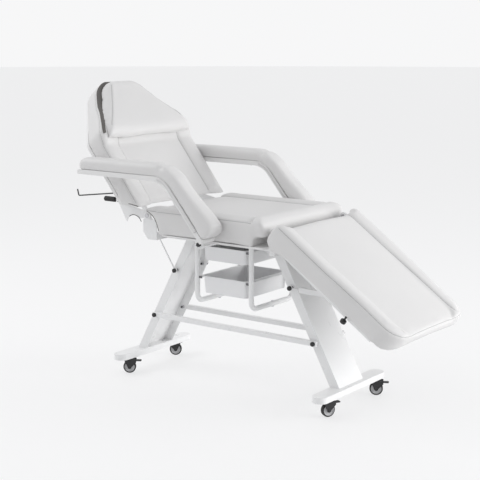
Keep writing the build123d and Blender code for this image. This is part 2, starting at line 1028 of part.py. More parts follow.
def panel_frame(start, cross_starts, end, face, stay_along, stay_off):
    """Two side tubes and cross tubes, with a lug and a stud for each stay guide."""
    inner_y = arm_plate_outer - panel_tube
    outers = []
    inners = []
    for side in (-1, 1):
        low, high = sorted((side * inner_y, side * arm_plate_outer))
        outer, inner = panel_tube_bar(start, end, low, high, face)
        outers.append(outer)
        inners.append(inner)
    for at in cross_starts:
        outer, inner = panel_tube_bar(at, at + panel_tube, -inner_y - tube_wall, inner_y + tube_wall, face)
        outers.append(outer)
        inners.append(inner)
    frame = sum(outers[1:], start=outers[0]) - sum(inners[1:], start=inners[0])
    lug_inner = stay_rod_side + guide_depth / 2 + guide_wall + 2 * contact_gap
    lug_outer = lug_inner + lug_thickness
    carrier = min(at for at in cross_starts if at > stay_along)
    lug = pin_y(stay_along, stay_off, lug_radius, lug_inner, lug_outer)
    lug += plate(
        [
            (stay_along, stay_off - lug_radius),
            (carrier + panel_tube, face - panel_tube - lug_radius / 3),
            (carrier + panel_tube, face - tube_wall),
            (carrier, face - tube_wall),
            (stay_along, stay_off + lug_radius),
        ],
        lug_inner,
        lug_outer,
    )
    head_y = lug_inner - guide_wall - 3 * contact_gap - lug_thickness
    lug += pin_y(stay_along, stay_off, stay_pin_radius, head_y, lug_inner)
    lug += pin_y(stay_along, stay_off, stay_pin_radius + guide_wall, head_y, head_y + lug_thickness)
    for piece in both_sides(lug):
        frame += piece
    return frame


def back_arm():
    """Hooked hinge arm: from the pin, under the backrest's level end and up its side tube."""
    tube_face = back_underside
    lean = 1 / math.tan(math.radians(back_angle))
    tube_start = back_start + (back_front - tube_face) * lean
    points = [
        (0, hinge_boss_radius),
        (hinge_boss_radius, hinge_boss_radius / 2),
        (tube_start - arm_plate, tube_face),
        (tube_start + 2 * panel_tube, tube_face),
        (tube_start + 2 * panel_tube, tube_face - panel_tube),
        (arm_heel_along, -arm_heel_depth),
        (0, -hinge_boss_radius),
    ]
    arm = plate(points, arm_plate_inner, arm_plate_outer)
    arm -= pin_y(arch_along, -arch_depth, arch_radius, arm_plate_inner - overrun, arm_plate_outer + overrun)
    arm += pin_y(0, 0, hinge_boss_radius, arm_plate_inner, arm_plate_outer)
    return arm


def legrest_arm():
    """Hinge arm from the pin, down behind the legrest's start and along its side tube."""
    face = legrest_underside
    points = [
        (-hinge_boss_radius / 2, 0),
        (legrest_start - hinge_plate, 0),
        (legrest_start - hinge_plate, face),
        (legrest_frame_start + 2 * panel_tube, face),
        (legrest_frame_start + 2 * panel_tube, face - panel_tube),
        (legrest_frame_start / 2, face - panel_tube),
        (-hinge_boss_radius / 2, -hinge_boss_radius),
    ]
    arm = plate(points, arm_plate_inner, arm_plate_outer)
    return arm + pin_y(0, 0, hinge_boss_radius, arm_plate_inner, arm_plate_outer)


def bored_arms(frame, arm):
    """Adds a hinge arm on each side of a panel frame and bores both for the pins."""
    for piece in both_sides(arm):
        frame += piece
    bore = pin_y(
        0, 0, hinge_pin_radius + running_gap, arm_plate_inner - overrun, arm_plate_outer + overrun
    )
    for piece in both_sides(bore):
        frame -= piece
    return frame


def back_frame():
    """Backrest frame with hooked hinge arms and the lever's lug."""
    lean = 1 / math.tan(math.radians(back_angle))
    start = back_start + (back_front - back_underside) * lean
    crosses = (back_cross_start, back_frame_end - panel_tube)
    frame = panel_frame(start, crosses, back_frame_end, back_underside, back_stay_along, back_stay_off)
    frame = bored_arms(frame, back_arm())
    inner = arm_plate_outer - panel_tube
    frame += block(
        start, start + panel_tube, -inner - tube_wall, inner + tube_wall, back_underside - strap, back_underside
    )
    lug = pin_y(lever_along, lever_off, lever_lug_radius, inner, inner + lever_lug)
    lug += block(
        lever_along - lever_lug_radius,
        lever_along + lever_lug_radius,
        inner,
        inner + lever_lug,
        lever_off,
        back_underside - panel_tube,
    )
    stud_end = inner + lever_lug + lever_thickness + 2 * contact_gap + lever_lug
    lug += pin_y(lever_along, lever_off, lever_rod_radius, inner, stud_end)
    lug += pin_y(lever_along, lever_off, lever_rod_radius + guide_wall, stud_end - lever_lug, stud_end)
    return on_panel(back_plane, frame + lug)


def legrest_frame():
    """Legrest frame with its hinge arms."""
    crosses = (legrest_frame_start, legrest_cross_start, legrest_frame_end - panel_tube)
    frame = panel_frame(
        legrest_frame_start,
        crosses,
        legrest_frame_end,
        legrest_underside,
        legrest_stay_along,
        legrest_stay_off,
    )
    return on_panel(legrest_plane, bored_arms(frame, legrest_arm()))


# Stays


def stay_point(plane, along, off):
    """Place of a stay's upper pivot, as X and Z."""
    at = plane.location * Pos(along, 0, off)
    return at.position.X, at.position.Z


def stay_plane(end, plane, along, off):
    """Plane at a stay's lower pivot with X towards its upper pivot, and the stay's length."""
    x_low = end * leg_middle_x(upper_bolt_z)
    x_high, z_high = stay_point(plane, along, off)
    run = x_high - x_low
    rise = z_high - upper_bolt_z
    length = math.hypot(run, rise)
    along_dir = (run / length, 0, rise / length)
    out_dir = (-rise / length, 0, run / length)
    return Plane(origin=(x_low, 0, upper_bolt_z), x_dir=along_dir, z_dir=out_dir), length


def stay_rods(end, plane, along, off, rod_length):
    """Round rods with an eye on the leg's upper bolt, one each side."""
    low = stay_rod_side - stay_eye_thickness / 2 + contact_gap
    high = low + stay_eye_thickness
    middle = (low + high) / 2
    rod = Pos(rod_length / 2, middle, 0) * Rot(0, 90, 0) * Cylinder(stay_rod_radius, rod_length)
    rod &= block(0, rod_length, 0, upholstery_width, -upholstery_width, upholstery_width)
    eye = pin_y(0, 0, stay_eye_radius, low, high)
    shape = rod + eye
    shape -= pin_y(0, 0, bolt_radius + running_gap, low - overrun, high + overrun)
    at, _ = stay_plane(end, plane, along, off)
    return group(both_sides(at.location * shape))


def stay_guides(end, plane, along, off, guide_length, room):
    """Folded channels that the rods run in, hinged on the panel's studs, one each side."""
    at, length = stay_plane(end, plane, along, off)
    half = stay_rod_radius + room
    low = stay_rod_side - guide_depth / 2
    high = stay_rod_side + guide_depth / 2
    start = length - guide_length
    stop = length - stay_pin_radius - guide_wall - 2 * contact_gap
    shape = block(start, stop, low, high + guide_wall, -half - guide_wall, half + guide_wall)
    shape -= block(start - overrun, stop + overrun, low - overrun, high, -half, half)
    web = block(stop, length, high, high + guide_wall, -lug_radius, lug_radius)
    web += pin_y(length, 0, lug_radius, high, high + guide_wall)
    shape += web
    shape -= pin_y(length, 0, stay_pin_radius + running_gap, low, high + 2 * guide_wall)
    return group(both_sides(at.location * shape))


# Armrests


def armrest_path():
    """Corners of an armrest's lower line: rear end, bend and lower end, as X and Z."""
    slope = math.radians(armrest_slope)
    drop = armrest_thickness / 2 * math.tan(slope / 2)
    corner_x = armrest_corner_x - drop
    tip_x = corner_x + armrest_tip_along * math.cos(slope)
    tip_z = armrest_bottom - armrest_tip_along * math.sin(slope)
    return corner_x, tip_x, tip_z


def armrest_band(low, high, rear_trim, tip_swell=0):
    """Solid that follows the armrest's lower line between two distances above it, thicker at its tip."""
    slope = math.radians(armrest_slope)
    corner_x, tip_x, tip_z = armrest_path()
    up = (math.sin(slope), math.cos(slope))

    def offset_corner(distance):
        return corner_x + distance * math.tan(slope / 2), armrest_bottom + distance

    low_corner = offset_corner(low)
    high_corner = offset_corner(high)
    points = [
        (armrest_rear_x + rear_trim, armrest_bottom + low),
        (armrest_rear_x + rear_trim, armrest_bottom + high),
        high_corner,
        (tip_x + up[0] * (high + tip_swell), tip_z + up[1] * (high + tip_swell)),
        (tip_x + up[0] * low, tip_z + up[1] * low),
        low_corner,
    ]
    end_round = min(armrest_round, (high - low) / 2 - contact_gap)
    tip_round = (high - low) / 2 - contact_gap
    bend_low = armrest_bend - armrest_thickness / 2 + low
    bend_high = armrest_bend - armrest_thickness / 2 + high
    radii = [end_round / 2, end_round, bend_high, tip_round, tip_round / 2, bend_low]
    return plate(points, armrest_inner, armrest_inner + armrest_width, radii)


def armrest_plan():
    """Plan limits of an armrest: a rounded strip."""
    _, tip_x, _ = armrest_path()
    length = tip_x + armrest_thickness - armrest_rear_x
    strip = RectangleRounded(length, armrest_width, armrest_round)
    at = Pos(armrest_rear_x + length / 2, armrest_inner + armrest_width / 2, 0)
    return at * extrude(strip, 2 * armrest_bottom)


def armrest_cushion(side):
    """Padded L-shaped armrest with crowned top edges."""
    band = armrest_band(armrest_board, armrest_thickness, 0, armrest_tip_swell) & armrest_plan()
    return band if side > 0 else mirror(band, about=Plane.XZ)


def armrest_board_piece(side):
    """Board under an armrest's padding."""
    band = armrest_band(0, armrest_board, armrest_board_inset)
    band &= block(
        armrest_rear_x,
        seat_front_x,
        armrest_inner + armrest_board_inset,
        armrest_inner + armrest_width - armrest_board_inset,
        0,
        2 * armrest_bottom,
    )
    return band if side > 0 else mirror(band, about=Plane.XZ)


def armrest_bracket(side):
    """Plate screwed under the slanting part of an armrest, with the post that stands in the socket."""
    slope = math.radians(armrest_slope)
    corner_x, _, _ = armrest_path()
    middle_y = armrest_inner + armrest_width / 2
    along = (post_x - corner_x) / math.cos(slope)
    centre_z = armrest_bottom - along * math.sin(slope)
    strip = Pos(0, middle_y, -armrest_plate / 2) * Box(
        armrest_plate_length, armrest_plate_width, armrest_plate
    )
    strip = Pos(-armrest_plate_length / 3, 0, 0) * strip
    shape = Pos(post_x, 0, centre_z) * Rot(0, armrest_slope, 0) * strip
    post = pin_z(post_x, middle_y, post_radius, socket_bottom, centre_z + armrest_board)
    under_board = armrest_band(-armrest_thickness, 0, 0)
    shape += post & under_board
    shape += pin_z(post_x, middle_y, post_radius, socket_bottom, socket_top)
    return shape if side > 0 else mirror(shape, about=Plane.XZ)


def armrest_sockets():
    """Two socket tubes on flat bars that run out from under the seat."""
    middle_y = armrest_inner + armrest_width / 2
    bar_high = frame_top
    bar_low = frame_top - outrigger_thickness
    socket = pin_z(post_x, middle_y, socket_radius, socket_bottom - outrigger_thickness, socket_top)
    bar = block(
        post_x - outrigger_width / 2,
        post_x + outrigger_width / 2,
        frame_half_span + tube_width / 2,
        middle_y,
        bar_low,
        bar_high,
    )
    shape = socket + bar
    shape -= pin_z(
        post_x, middle_y, post_radius + running_gap, socket_bottom - contact_gap, socket_top + overrun
    )
    outside = middle_y + socket_radius + overrun
    shape -= pin_y(post_x, knob_z, knob_stem_radius + running_gap, middle_y, outside)
    return group(both_sides(shape))


def armrest_knob(side):
    """Lobed clamp knob whose stem passes through the socket's wall up to the post."""
    middle_y = armrest_inner + armrest_width / 2
    tip = middle_y + post_radius + running_gap
    base = middle_y + socket_radius + contact_gap
    knob = pin_y(post_x, knob_z, knob_stem_radius, tip, base) + knob_head(knob_radius, knob_length, base)
    return knob if side > 0 else mirror(knob, about=Plane.XZ)


def knob_head(radius, length, base):
    """Round knob with finger hollows, from its base outwards along Y."""
    head = Cylinder(radius, length)
    for turn in range(knob_hollows):
        at = Rot(0, 0, 360 * turn / knob_hollows) * Pos(radius * hollow_reach_share, 0, 0)
        head -= at * Cylinder(radius / 2, length + overrun)
    return Pos(post_x, base + length / 2, knob_z) * Rot(90, 0, 0) * head


# Fittings


def roll_holder_arms():
    """Bent wire arms with upturned ends, on small plates behind the backrest."""
    face = back_underside - panel_tube
    middle_y = arm_plate_outer - panel_tube / 2
    pad = block(
        holder_along - holder_plate_length / 2,
        holder_along + holder_plate_length / 2,
        middle_y - panel_tube / 2 + tube_wall,
        middle_y + panel_tube / 2 - tube_wall,
        face - holder_plate,
        face,
    )
    pad = mirror(on_panel(back_plane, pad), about=Plane.XZ)
    root_x, root_z = stay_point(back_plane, holder_along, face - holder_plate / 2)
    wire = bent_rod(
        [
            (root_x, middle_y, root_z),
            (root_x - holder_reach, middle_y, root_z - holder_drop),
            (root_x - holder_reach - holder_hook_lean, middle_y, root_z - holder_drop + holder_hook),
        ],
        holder_wire_radius,
        holder_bend,
    )
    behind = block(-hinge_x, hinge_x, -half_width, half_width, face - upholstery_width, face - holder_plate / 2)
    wire &= on_panel(back_plane, Pos(hinge_x, 0, 0) * behind)
    return group(both_sides(pad + wire))


def lever_pivot():
    """Place of the lever's pivot, as X and Z."""
    return stay_point(back_plane, lever_along, lever_off)


def release_lever():
    """Flat lever on the backrest frame's stud, with a rod that carries the grip."""
    x, z = lever_pivot()
    inner = arm_plate_outer - panel_tube + lever_lug + contact_gap
    outer = inner + lever_thickness
    middle = (inner + outer) / 2
    lever = pin_y(x, z, lever_lug_radius, inner, outer)
    rod = Pos(x, middle, z) * Rot(0, -90, 0) * Pos(0, 0, (lever_reach + grip_length) / 2)
    lever += rod * Cylinder(lever_thickness / 2, lever_reach + grip_length)
    lever -= pin_y(x, z, lever_rod_radius + running_gap, inner - overrun, outer + overrun)
    return mirror(lever, about=Plane.XZ)


def lever_grip():
    """Round rubber grip on the lever's rod."""
    x, z = lever_pivot()
    inner = arm_plate_outer - panel_tube + lever_lug + contact_gap
    middle = inner + lever_thickness / 2
    start = x - lever_reach
    grip = Pos(start - grip_length / 2, middle, z) * Rot(0, 90, 0) * Cylinder(grip_radius, grip_length)
    grip = fillet(grip.edges().filter_by(GeomType.CIRCLE), grip_radius / 3)
    bore = Cylinder(lever_thickness / 2, grip_length)
    grip -= Pos(start - grip_length / 2, middle, z) * Rot(0, 90, 0) * bore
    return mirror(grip, about=Plane.XZ)


def clamp_knob():
    """Knob on a threaded stub under the legrest's near edge."""
    x = clamp_knob_along
    y = -clamp_knob_side + clamp_knob_radius
    face = legrest_underside - contact_gap
    stub = Pos(x, y, face - clamp_stub_length / 2) * Cylinder(clamp_stub_radius, clamp_stub_length)
    head = Pos(x, y, face - clamp_stub_length - clamp_knob_length / 2) * Cylinder(
        clamp_knob_radius, clamp_knob_length
    )
    head = fillet(head.edges().filter_by(GeomType.CIRCLE), clamp_knob_length / 5)
    return on_panel(legrest_plane, stub + head)


# Casters


def caster_stems():
    """Flanged stems under the base bars: a threaded end above and a plain pin below."""
    stems = []
    for end in (-1, 1):
        for side in (-1, 1):
            x = end * bar_half_spacing
            y = side * caster_half_spacing
            stem = pin_z(x, y, stem_thread_radius, bar_underside, bar_top - bar_wall)
            stem += pin_z(x, y, stem_flange_radius, bar_underside - stem_flange, bar_underside)
            pin_end = bar_underside - stem_flange - contact_gap - housing_bore_depth
            stem += pin_z(x, y, stem_pin_radius, pin_end, bar_underside)
            stems.append(stem)
    return group(stems)


def caster_housing():
    """Hooded fork: bore for the stem, two cheeks, bridge over the wheel, and the wheel's axle."""
    top = bar_underside - stem_flange - contact_gap
    bridge_low = 2 * wheel_radius + bridge_gap
    inner = wheel_width / 2 + cheek_gap
    outer = inner + cheek_thickness
    boss = pin_z(0, 0, housing_radius, bridge_low, top)
    bridge = block(
        -housing_radius / 2,
        pedal_pin_x - pedal_hub_radius - 2 * contact_gap,
        -outer,
        outer,
        bridge_low,
        bridge_low + bridge_thickness,
    )
    shape = boss + bridge
    points = [
        (-housing_radius / 2, bridge_low),
        (-housing_radius / 2, bridge_low + bridge_thickness),
        (pedal_pin_x + pedal_hub_radius, bridge_low + bridge_thickness),
        (pedal_pin_x + pedal_hub_radius, pedal_pin_z - pedal_hub_radius),
        (trail + cheek_foot_radius, wheel_radius),
        (trail - cheek_foot_radius, wheel_radius),
    ]
    cheek = plate(points, inner, outer)
    cheek += pin_y(trail, wheel_radius, cheek_foot_radius, inner, outer)
    cheek -= pin_y(pedal_pin_x, pedal_pin_z, pedal_pin_radius + running_gap, inner, outer)
    cheek -= pin_y(trail, wheel_radius, axle_radius, inner, outer)
    for piece in both_sides(cheek):
        shape += piece
    bore_low = top - housing_bore_depth - contact_gap
    shape -= pin_z(0, 0, stem_pin_radius + running_gap, bore_low, top + overrun)
    head = outer + axle_radius / 2
    axle = pin_y(trail, wheel_radius, axle_radius, -head, head)
    axle += pin_y(trail, wheel_radius, 2 * axle_radius, outer, head)
    axle += pin_y(trail, wheel_radius, 2 * axle_radius, -head, -outer)
    return [shape, axle]


def caster_rim():
    """Dished wheel centre with a raised hub, turning on the axle."""
    half = wheel_width / 2
    profile = Polyline(
        (axle_radius + running_gap, half),
        (hub_radius, half),
        (hub_radius, half - rim_dish),
        (rim_radius - rim_dish, half - rim_dish),
        (rim_radius - rim_dish / 2, half),
        (rim_radius, half),
        (rim_radius, 0),
        (axle_radius + running_gap, 0),
        close=True,
    )
    turned = revolve(make_face(profile), axis=Axis.Y)
    rim = turned + mirror(turned, about=Plane.XZ)
    return Pos(trail, 0, wheel_radius) * rim


def caster_tyre():
    """Tyre on the rim."""
    half = wheel_width / 2
    profile = FilletPolyline(
        (rim_radius, -half),
        (wheel_radius, -half),
        (wheel_radius, half),
        (rim_radius, half),
        radius=[0, rim_dish, rim_dish, 0],
        close=True,
    )
    tyre = revolve(make_face(profile), axis=Axis.Y)
    return Pos(trail, 0, wheel_radius) * tyre


def caster_pedal():
    """Brake pedal on its pin between the cheeks."""
    half = wheel_width / 2 + cheek_gap - contact_gap
    pedal = pin_y(pedal_pin_x, pedal_pin_z, pedal_hub_radius, -half, half)
    pad = block(
        pedal_pin_x,
        pedal_pin_x + pedal_length,
        -half,
        half,
        pedal_pin_z + pedal_hub_radius - pedal_thickness,
        pedal_pin_z + pedal_hub_radius,
    )
    pad = fillet(pad.edges().filter_by(Axis.Z).group_by(Axis.X)[-1], pedal_thickness)
    pin = pin_y(
        pedal_pin_x, pedal_pin_z, pedal_pin_radius, -half - cheek_thickness, half + cheek_thickness
    )
    return pedal + pad + pin


def caster_pieces():
    """Every caster's moving pieces, turned to its own heading under its stem."""
    pieces = {}
    for name, heading in caster_headings.items():
        end_name, side_name = name.split("_")
        x = bar_half_spacing if end_name == "foot" else -bar_half_spacing
        y = caster_half_spacing if side_name == "far" else -caster_half_spacing
        at = Pos(x, y, 0) * Rot(0, 0, heading)
        pieces[f"caster_{name}_housing"] = group([at * solid for solid in caster_housing()])
        pieces[f"caster_{name}_rim"] = at * caster_rim()
        pieces[f"caster_{name}_tyre"] = at * caster_tyre()
        pieces[f"caster_{name}_pedal"] = at * caster_pedal()
    return pieces


def build():
    """Every node by name, in the bed's own frame."""
    back_stay = (-1, back_plane, back_stay_along, back_stay_off)
    legrest_stay = (1, legrest_plane, legrest_stay_along, legrest_stay_off)
    nodes = {
        "base_bar_head": base_bar(-1),
        "base_bar_foot": base_bar(1),
        "leg_head": mirror(leg(), about=Plane.YZ),
        "leg_foot": leg(),
        "side_rail_near": side_rail(-1),
        "side_rail_far": side_rail(1),
        "seat_frame": seat_frame(),
        "seat_board": seat_board(),
        "seat_cushion": seat_cushion(),
        "hinge_pins": hinge_pins(),
        "frame_bolts": frame_bolts(),
        "leg_nuts": leg_nuts(),
        "plate_bolts": plate_bolts(),
        "caster_stems": caster_stems(),
        "tray_hanger_head": hanger(-1),
        "tray_hanger_foot": hanger(1),
        "tray_runners": tray_runners(),
        "runner_caps": runner_caps(),
        "upper_tray": tray(upper_tray_rim_z, upper_tray_depth),
        "lower_tray": tray(lower_tray_rim_z, lower_tray_depth),
        "back_frame": back_frame(),
        "back_board": back_board(),
        "back_cushion": back_cushion(),
        "head_pillow": head_pillow(),
        "roll_holder_arms": roll_holder_arms(),
        "release_lever": release_lever(),
        "lever_grip": lever_grip(),
        "legrest_frame": legrest_frame(),
        "legrest_board": legrest_board(),
        "legrest_cushion": legrest_cushion(),
        "legrest_knob": clamp_knob(),
        "back_stay_rods": stay_rods(*back_stay, back_rod_length),
        "back_stay_guides": stay_guides(*back_stay, back_guide_length, back_guide_room),
        "legrest_stay_rods": stay_rods(*legrest_stay, legrest_rod_length),
        "legrest_stay_guides": stay_guides(*legrest_stay, legrest_guide_length, legrest_guide_room),
        "armrest_sockets": armrest_sockets(),
    }
    for name, side in (("near", -1), ("far", 1)):
        nodes[f"armrest_{name}_cushion"] = armrest_cushion(side)
        nodes[f"armrest_{name}_board"] = armrest_board_piece(side)
        nodes[f"armrest_{name}_bracket"] = armrest_bracket(side)
        nodes[f"armrest_{name}_knob"] = armrest_knob(side)
    nodes.update(caster_pieces())
    return nodes


def centred(nodes):
    """The same nodes moved along X so that the bed's overall box is centred on the origin."""
    boxes = [shape.bounding_box() for shape in nodes.values()]
    middle = (min(box.min.X for box in boxes) + max(box.max.X for box in boxes)) / 2
    moved = {}
    for name, shape in nodes.items():
        solids = [Pos(-middle, 0, 0) * solid for solid in shape.solids()]
        moved[name] = solids[0] if len(solids) == 1 else group(solids)
    return moved


def main():
    """Writes one file for each node."""
    os.makedirs("parts", exist_ok=True)
    for name, shape in centred(build()).items():
        export_step(shape, f"parts/{name}.step")


main()
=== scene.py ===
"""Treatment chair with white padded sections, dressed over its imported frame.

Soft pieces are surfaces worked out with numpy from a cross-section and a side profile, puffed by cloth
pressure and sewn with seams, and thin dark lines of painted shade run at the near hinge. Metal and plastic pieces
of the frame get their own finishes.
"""

import json
import math

import bmesh
import bpy
import numpy as np
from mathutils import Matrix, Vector
from mathutils.bvhtree import BVHTree


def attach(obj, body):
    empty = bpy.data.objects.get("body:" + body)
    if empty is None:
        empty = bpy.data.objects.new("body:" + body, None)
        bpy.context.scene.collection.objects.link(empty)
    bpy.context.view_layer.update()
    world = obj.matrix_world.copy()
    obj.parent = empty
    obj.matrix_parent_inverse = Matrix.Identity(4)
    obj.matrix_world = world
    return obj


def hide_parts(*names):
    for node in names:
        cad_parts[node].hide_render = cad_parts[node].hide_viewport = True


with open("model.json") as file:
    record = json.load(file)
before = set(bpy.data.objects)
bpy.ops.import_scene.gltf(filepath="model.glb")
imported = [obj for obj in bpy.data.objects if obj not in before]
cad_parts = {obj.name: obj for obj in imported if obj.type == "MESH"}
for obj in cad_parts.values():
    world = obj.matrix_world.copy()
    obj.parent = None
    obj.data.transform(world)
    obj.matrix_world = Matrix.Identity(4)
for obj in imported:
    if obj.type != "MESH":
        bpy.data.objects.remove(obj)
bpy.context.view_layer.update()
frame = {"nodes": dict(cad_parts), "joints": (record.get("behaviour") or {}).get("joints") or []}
nodes = frame["nodes"]
joints = {joint["name"]: joint for joint in frame["joints"]}

# Sizes shared by the padded pieces, in metres and degrees: the seat

half_width = 0.300
seat_top = 0.772
seat_thick = 0.110
seat_start = -0.306
seat_end = 0.304
seat_dip = 0.011
scoop_radius = 0.088
scoop_x = -0.330
scoop_z = 0.670
roll_length = 0.066
roll_tall = 0.067
seat_bolster = 0.70

# Backrest, along its panel from the hinge

back_rise = 51.4
back_start = 0.028
back_long = 0.642
back_front = 0.031
back_rear = -0.054
back_dip = 0.013
straight_long = 0.378
head_half = 0.128
head_corner = 0.062
head_swell = 0.020
head_sink = 0.009
crown_inset = 0.014
back_bolster = 0.66

# Legrest, along its panel from the hinge

leg_rise = -35.0
leg_start = 0.012
leg_end = 0.662
leg_front = 0.047
leg_rear = -0.037
leg_dip = 0.013
leg_corner = 0.088
leg_hinge_side = (0.248, 0.266)
leg_cheek = 0.016
leg_lobe = 0.022
leg_lobe_place, leg_lobe_reach = 0.040, 0.045
leg_lean = 0.045
leg_lean_run = (0.22, 0.50)

# Pillow and the dark layer of painted shade under it, along the backrest's panel

pillow_long = (0.368, 0.660)
pillow_wall = 0.047
shade_layer_start = 0.392
shade_layer_thick = 0.004
head_cover = 0.006
pillow_base_run = (0.385, 0.430, 0.487, 0.573, 0.640, 0.660)
pillow_base_half = (0.274, 0.268, 0.240, 0.166, 0.122, 0.108)
pillow_front_run = (0.385, 0.415, 0.448, 0.484, 0.535, 0.581, 0.640)
pillow_front_half = (0.258, 0.241, 0.216, 0.189, 0.153, 0.122, 0.084)
pillow_top_run = (0.385, 0.430, 0.480, 0.541, 0.600, 0.660)
pillow_top = (0.084, 0.084, 0.079, 0.072, 0.069, 0.069)

# Armrests, seen from the side

arm_inner = 0.302
arm_wide = 0.090
arm_thick = 0.066
arm_board = 0.020
arm_swell = 0.024
arm_bottom = 0.900
arm_rear = -0.600
arm_corner = -0.119
arm_slope = 50.0
arm_bend = 0.130
arm_tip = 0.305
arm_pleats = ((0.24, 0.0060), (0.62, 0.0025))
arm_bolts = (-0.223, -0.190)
bolt_radius, bolt_tall = 0.0075, 0.006

# Dark lines of painted shade at the near hinge, and the notch in the backrest's steel arm

shade_line_radius = 0.0016
shade_line_out = 0.004
heel_line = ((-0.392, 0.7785), (-0.372, 0.777), (-0.352, 0.774), (-0.330, 0.7705))
notch_radius = 0.044
notch_along = 0.008
notch_height = -0.086
notch_side = -0.2458

# Cell sizes of the remesh, the most that cloth pressure may move a point, and how tight the pads are

large_cells, pillow_cells, small_cells = 0.0075, 0.005, 0.0055
large_cap, small_cap = 0.004, 0.003

# Seams: how far the attribute thread reaches, and how far inside an edge and below a top they run

thread_reach = 0.03
seam_side = 0.001
seam_drop = 0.006
stitch_row, stitch_half = 0.0055, 0.0006
stitches_per_metre, stitch_share = 210.0, 0.62

back_pivot = np.array(joints["backrest_tilt"]["pos_m"])
leg_pivot = np.array(joints["legrest_lift"]["pos_m"])
shift = (back_pivot + leg_pivot)[0] / 2

# Places on the tilted panels


def panel_axes(side, rise):
    """Directions along a panel and out of its front, as a length axis (side cos, 0, sin) and its normal."""
    a = math.radians(rise)
    along = np.array([side * math.cos(a), 0.0, math.sin(a)])
    out = np.array([-side * along[2], 0.0, side * along[0]])
    return along, out


def on_panel(grid, pivot, side, rise):
    """Grid of (length, across, height) carried to the row frame: pivot + length * along + height * out."""
    along, out = panel_axes(side, rise)
    across = np.array([0.0, 1.0, 0.0])
    return pivot + grid[..., :1] * along + grid[..., 1:2] * across + grid[..., 2:] * out


# Numpy curves and surfaces


def spline_ring(points, count):
    """Closed uniform cubic B-spline: each point is the blend of four neighbours by the basis weights."""
    points = np.asarray(points, float)
    t = np.linspace(0, len(points), count, endpoint=False)
    i = np.floor(t).astype(int)
    f = (t - i)[:, None]
    weights = ((1 - f) ** 3, 3 * f**3 - 6 * f**2 + 4, -3 * f**3 + 3 * f**2 + 3 * f + 1, f**3)
    return sum(w * points[(i + k - 1) % len(points)] for k, w in enumerate(weights)) / 6


def flowing(x, places, values, reach=0.02):
    """Straight runs between the given values, averaged over a window of the given reach."""
    offsets = np.linspace(-1, 1, 9) * reach
    weights = 1 - np.abs(offsets) / (reach * 1.2)
    stack = np.stack([np.interp(np.asarray(x) + o, places, values) for o in offsets])
    return np.tensordot(weights / weights.sum(), stack, 1)


def eased(x, low, high):
    """Smooth step: 0 below low, 1 above high, 3t^2 - 2t^3 between."""
    t = np.clip((np.asarray(x, float) - low) / (high - low), 0, 1)
    return t * t * (3 - 2 * t)


def round_end(distance, radius, depth=None):
    """Inset of a rounded edge: depth * (1 - sqrt(1 - (1 - d / radius)^2)) at distance d from the end."""
    d = np.clip(distance / radius, 0, 1)
    return (radius if depth is None else depth) * (1 - np.sqrt(np.maximum(1 - (1 - d) ** 2, 0)))


def crowded(low, high, count, ends=0.03):
    """Stations closer together near both ends: low + span * (t - 0.8 * (1 - ends) * sin(2 pi t) / (2 pi))."""
    t = np.linspace(0, 1, count)
    t = t - 0.8 / (2 * np.pi) * np.sin(2 * np.pi * t) * (1 - ends)
    return low + (high - low) * t


def capped(rings, caps=5, crown=0.0):
    """Adds shrinking rings and a pole at both ends of a stack of rings, with a slight crown outwards."""
    first, last = rings[0], rings[-1]
    shares = np.linspace(1, 0, caps + 1)[1:]

    def cap(ring, ahead):
        centre = ring.mean(0)
        out = centre - ahead.mean(0)
        out = out / max(np.linalg.norm(out), 1e-9)
        return [centre + (ring - centre) * k + out * crown * (1 - k * k) for k in shares]

    start = cap(first, rings[1])[::-1]
    end = cap(last, rings[-2])
    return np.concatenate([np.array(start), rings, np.array(end)])


def grid_mesh(name, grid, closed=True):
    """Mesh from rows of rings: quads between rows, doubles merged at the poles, faces turned outwards."""
    rows, cols = grid.shape[:2]
    i, j = np.meshgrid(np.arange(rows - 1), np.arange(cols if closed else cols - 1), indexing="ij")
    k = (j + 1) % cols
    faces = np.stack([i * cols + j, i * cols + k, (i + 1) * cols + k, (i + 1) * cols + j], -1)
    mesh = bpy.data.meshes.new(name)
    mesh.from_pydata(grid.reshape(-1, 3).tolist(), [], faces.reshape(-1, 4).tolist())
    work = bmesh.new()
    work.from_mesh(mesh)
    bmesh.ops.remove_doubles(work, verts=work.verts, dist=1e-6)
    bmesh.ops.recalc_face_normals(work, faces=work.faces)
    work.to_mesh(mesh)
    work.free()
    mesh.shade_smooth()
    piece = bpy.data.objects.new(name, mesh)
    bpy.context.scene.collection.objects.link(piece)
    return piece


def tube_grid(path, radius, sides=12):
    """Rings round a path: each ring turns in the plane square to the path, framed by a steady side axis."""
    path = np.asarray(path, float)
    ahead = np.gradient(path, axis=0)
    ahead /= np.linalg.norm(ahead, axis=1, keepdims=True)
    guide = np.array([0.13, 0.97, 0.21])
    first = np.cross(ahead, guide)
    first /= np.linalg.norm(first, axis=1, keepdims=True)
    second = np.cross(ahead, first)
    turn = np.linspace(0, 2 * np.pi, sides, endpoint=False)
    around = np.cos(turn)[None, :, None] * first[:, None] + np.sin(turn)[None, :, None] * second[:, None]
    return path[:, None] + radius * around


def tube(name, path, radius, sides=12):
    """Round tube along a path with domed ends."""
    return grid_mesh(name, capped(tube_grid(path, radius, sides), 3, radius * 0.5))


# Puffing by cloth pressure


